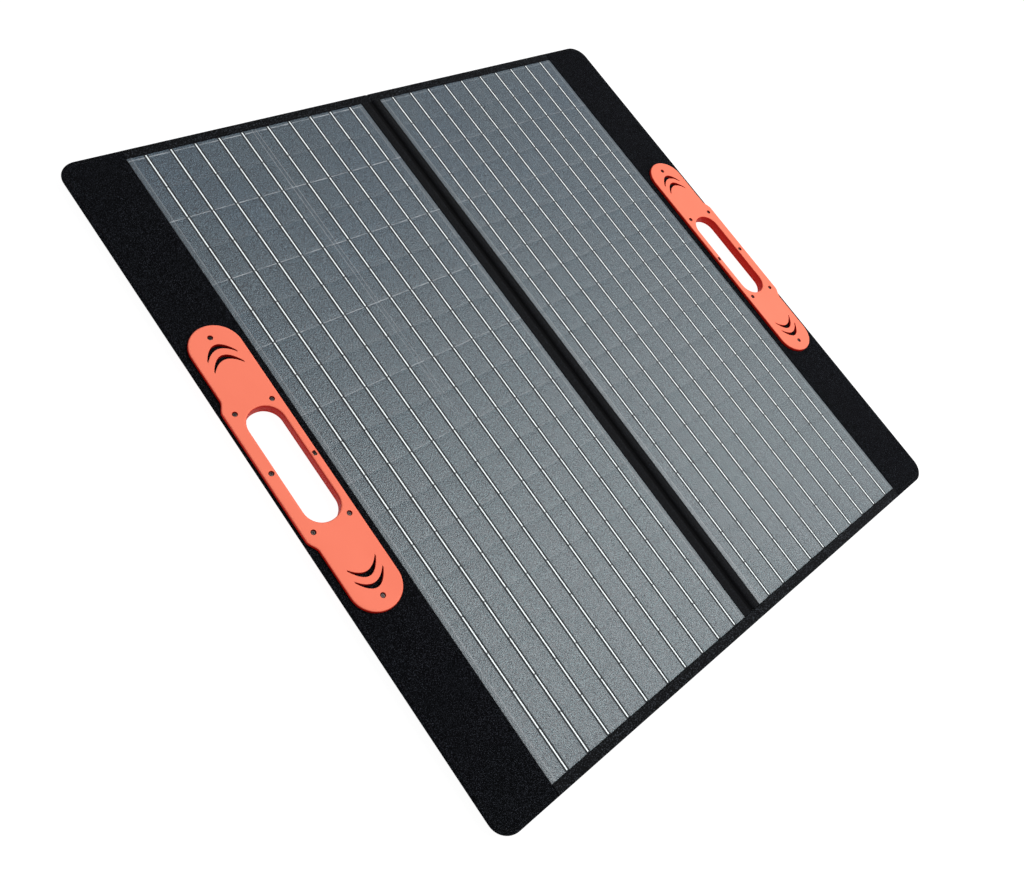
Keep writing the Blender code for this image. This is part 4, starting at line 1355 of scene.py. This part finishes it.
def make_pocket():
    """The lead pocket on the right half's back, with its zip and slider."""
    half = "right_half"
    pouch = make_piece("lead_pouch", build_pouch, BACK_CLOTH, "flap_fabric", half, 1, ["pocket_pouch"])
    seam = make_piece("pouch_stitches", pouch_stitches, BACK_THREAD, "flap_fabric", half, 1, (),
                      SOFT_ANGLE)
    make_piece("lead_zip", build_zip, ZIP_TAPE, "zip_plastic", half, 1, ["pocket_zip"])
    make_piece("slider_with_pull", build_slider, ZINC, "slider_metal", "zip_slider", 1, ["zip_slider"])


def finish_nodes():
    """Materials for the frame's own nodes that stay: the inner layers and the junction box."""
    looks = {
        "stiffener_board": BOARD, "backsheet": BACKSHEET,
        "cell_string_inner": CELLS, "cell_string_outer": CELLS,
        "junction_box_base": BLACK_PLASTIC, "junction_box_lid": BLACK_PLASTIC,
        "output_gland": BLACK_PLASTIC,
    }
    for name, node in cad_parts.items():
        for ending, material in looks.items():
            if name.endswith(ending):
                node.data.materials.clear()
                node.data.materials.append(material)


# ---------------------------------------------------- floor, light and camera

# The camera's place over the film's face, its turn in degrees about X, Y and Z, and its lens in mm.
CAMERA_PLACE = (-0.77578, -0.28078, 0.88172)
CAMERA_TURN = (29.736, -23.038, -38.905)
CAMERA_LENS = 33.456

# The key light's place, side and power. It is turned towards the middle of the panel.
KEY_PLACE = (1.45, -0.55, 2.72)
KEY_SIZE = 2.4
KEY_POWER = 94.0

# Half the floor's side. The surround is at its third value up to the first height, seen from the
# floor, and fades to its fourth value at the second height.
FLOOR_SIZE = 40.0
SKY_FADE = (0.05, 0.40, 1.0, 0.42)

def make_studio():
    """Plain pale floor, a white surround that is brightest low down, and one large soft light."""
    bm = bmesh.new()
    bmesh.ops.create_grid(bm, x_segments=8, y_segments=8, size=FLOOR_SIZE)
    floor = new_object("floor", new_mesh("floor", bm, pale_floor()))
    floor.location.z = CAD_BOX[0].z - 0.0005

    world = bpy.data.worlds.new("studio")
    world.use_nodes = True
    nodes, links = world.node_tree.nodes, world.node_tree.links
    split = nodes.new("ShaderNodeSeparateXYZ")
    links.new(nodes.new("ShaderNodeTexCoord").outputs["Generated"], split.inputs[0])
    fade = nodes.new("ShaderNodeMapRange")
    for socket, value in zip(list(fade.inputs)[1:5], SKY_FADE):
        socket.default_value = value
    links.new(split.outputs[2], fade.inputs[0])
    background = nodes["Background"]
    background.inputs["Color"].default_value = (1.0, 1.0, 1.0, 1.0)
    links.new(fade.outputs[0], background.inputs["Strength"])
    bpy.context.scene.world = world

    light = bpy.data.lights.new("key_light", "AREA")
    light.shape = "RECTANGLE"
    light.size = light.size_y = KEY_SIZE
    light.energy = KEY_POWER
    lamp = new_object("key_light", light)
    lamp.location = KEY_PLACE
    lamp.rotation_euler = (-Vector(KEY_PLACE)).to_track_quat("-Z", "Y").to_euler()


def make_camera():
    """Camera at the photograph's viewing angle."""
    camera = bpy.data.cameras.new("camera")
    camera.sensor_width = 36.0
    camera.lens = CAMERA_LENS
    camera.clip_start = 0.05
    body = new_object("camera", camera)
    body.location = Vector(CAMERA_PLACE) + Vector((0, 0, FILM_HIGH.z))
    body.rotation_euler = Euler([math.radians(a) for a in CAMERA_TURN])
    bpy.context.scene.camera = body


make_camera()
make_studio()
bpy.context.scene.view_settings.view_transform = "Standard"
for half_name in SIDES:
    make_half(half_name)
    make_stand(half_name)
make_spine()
make_pocket()
finish_nodes()
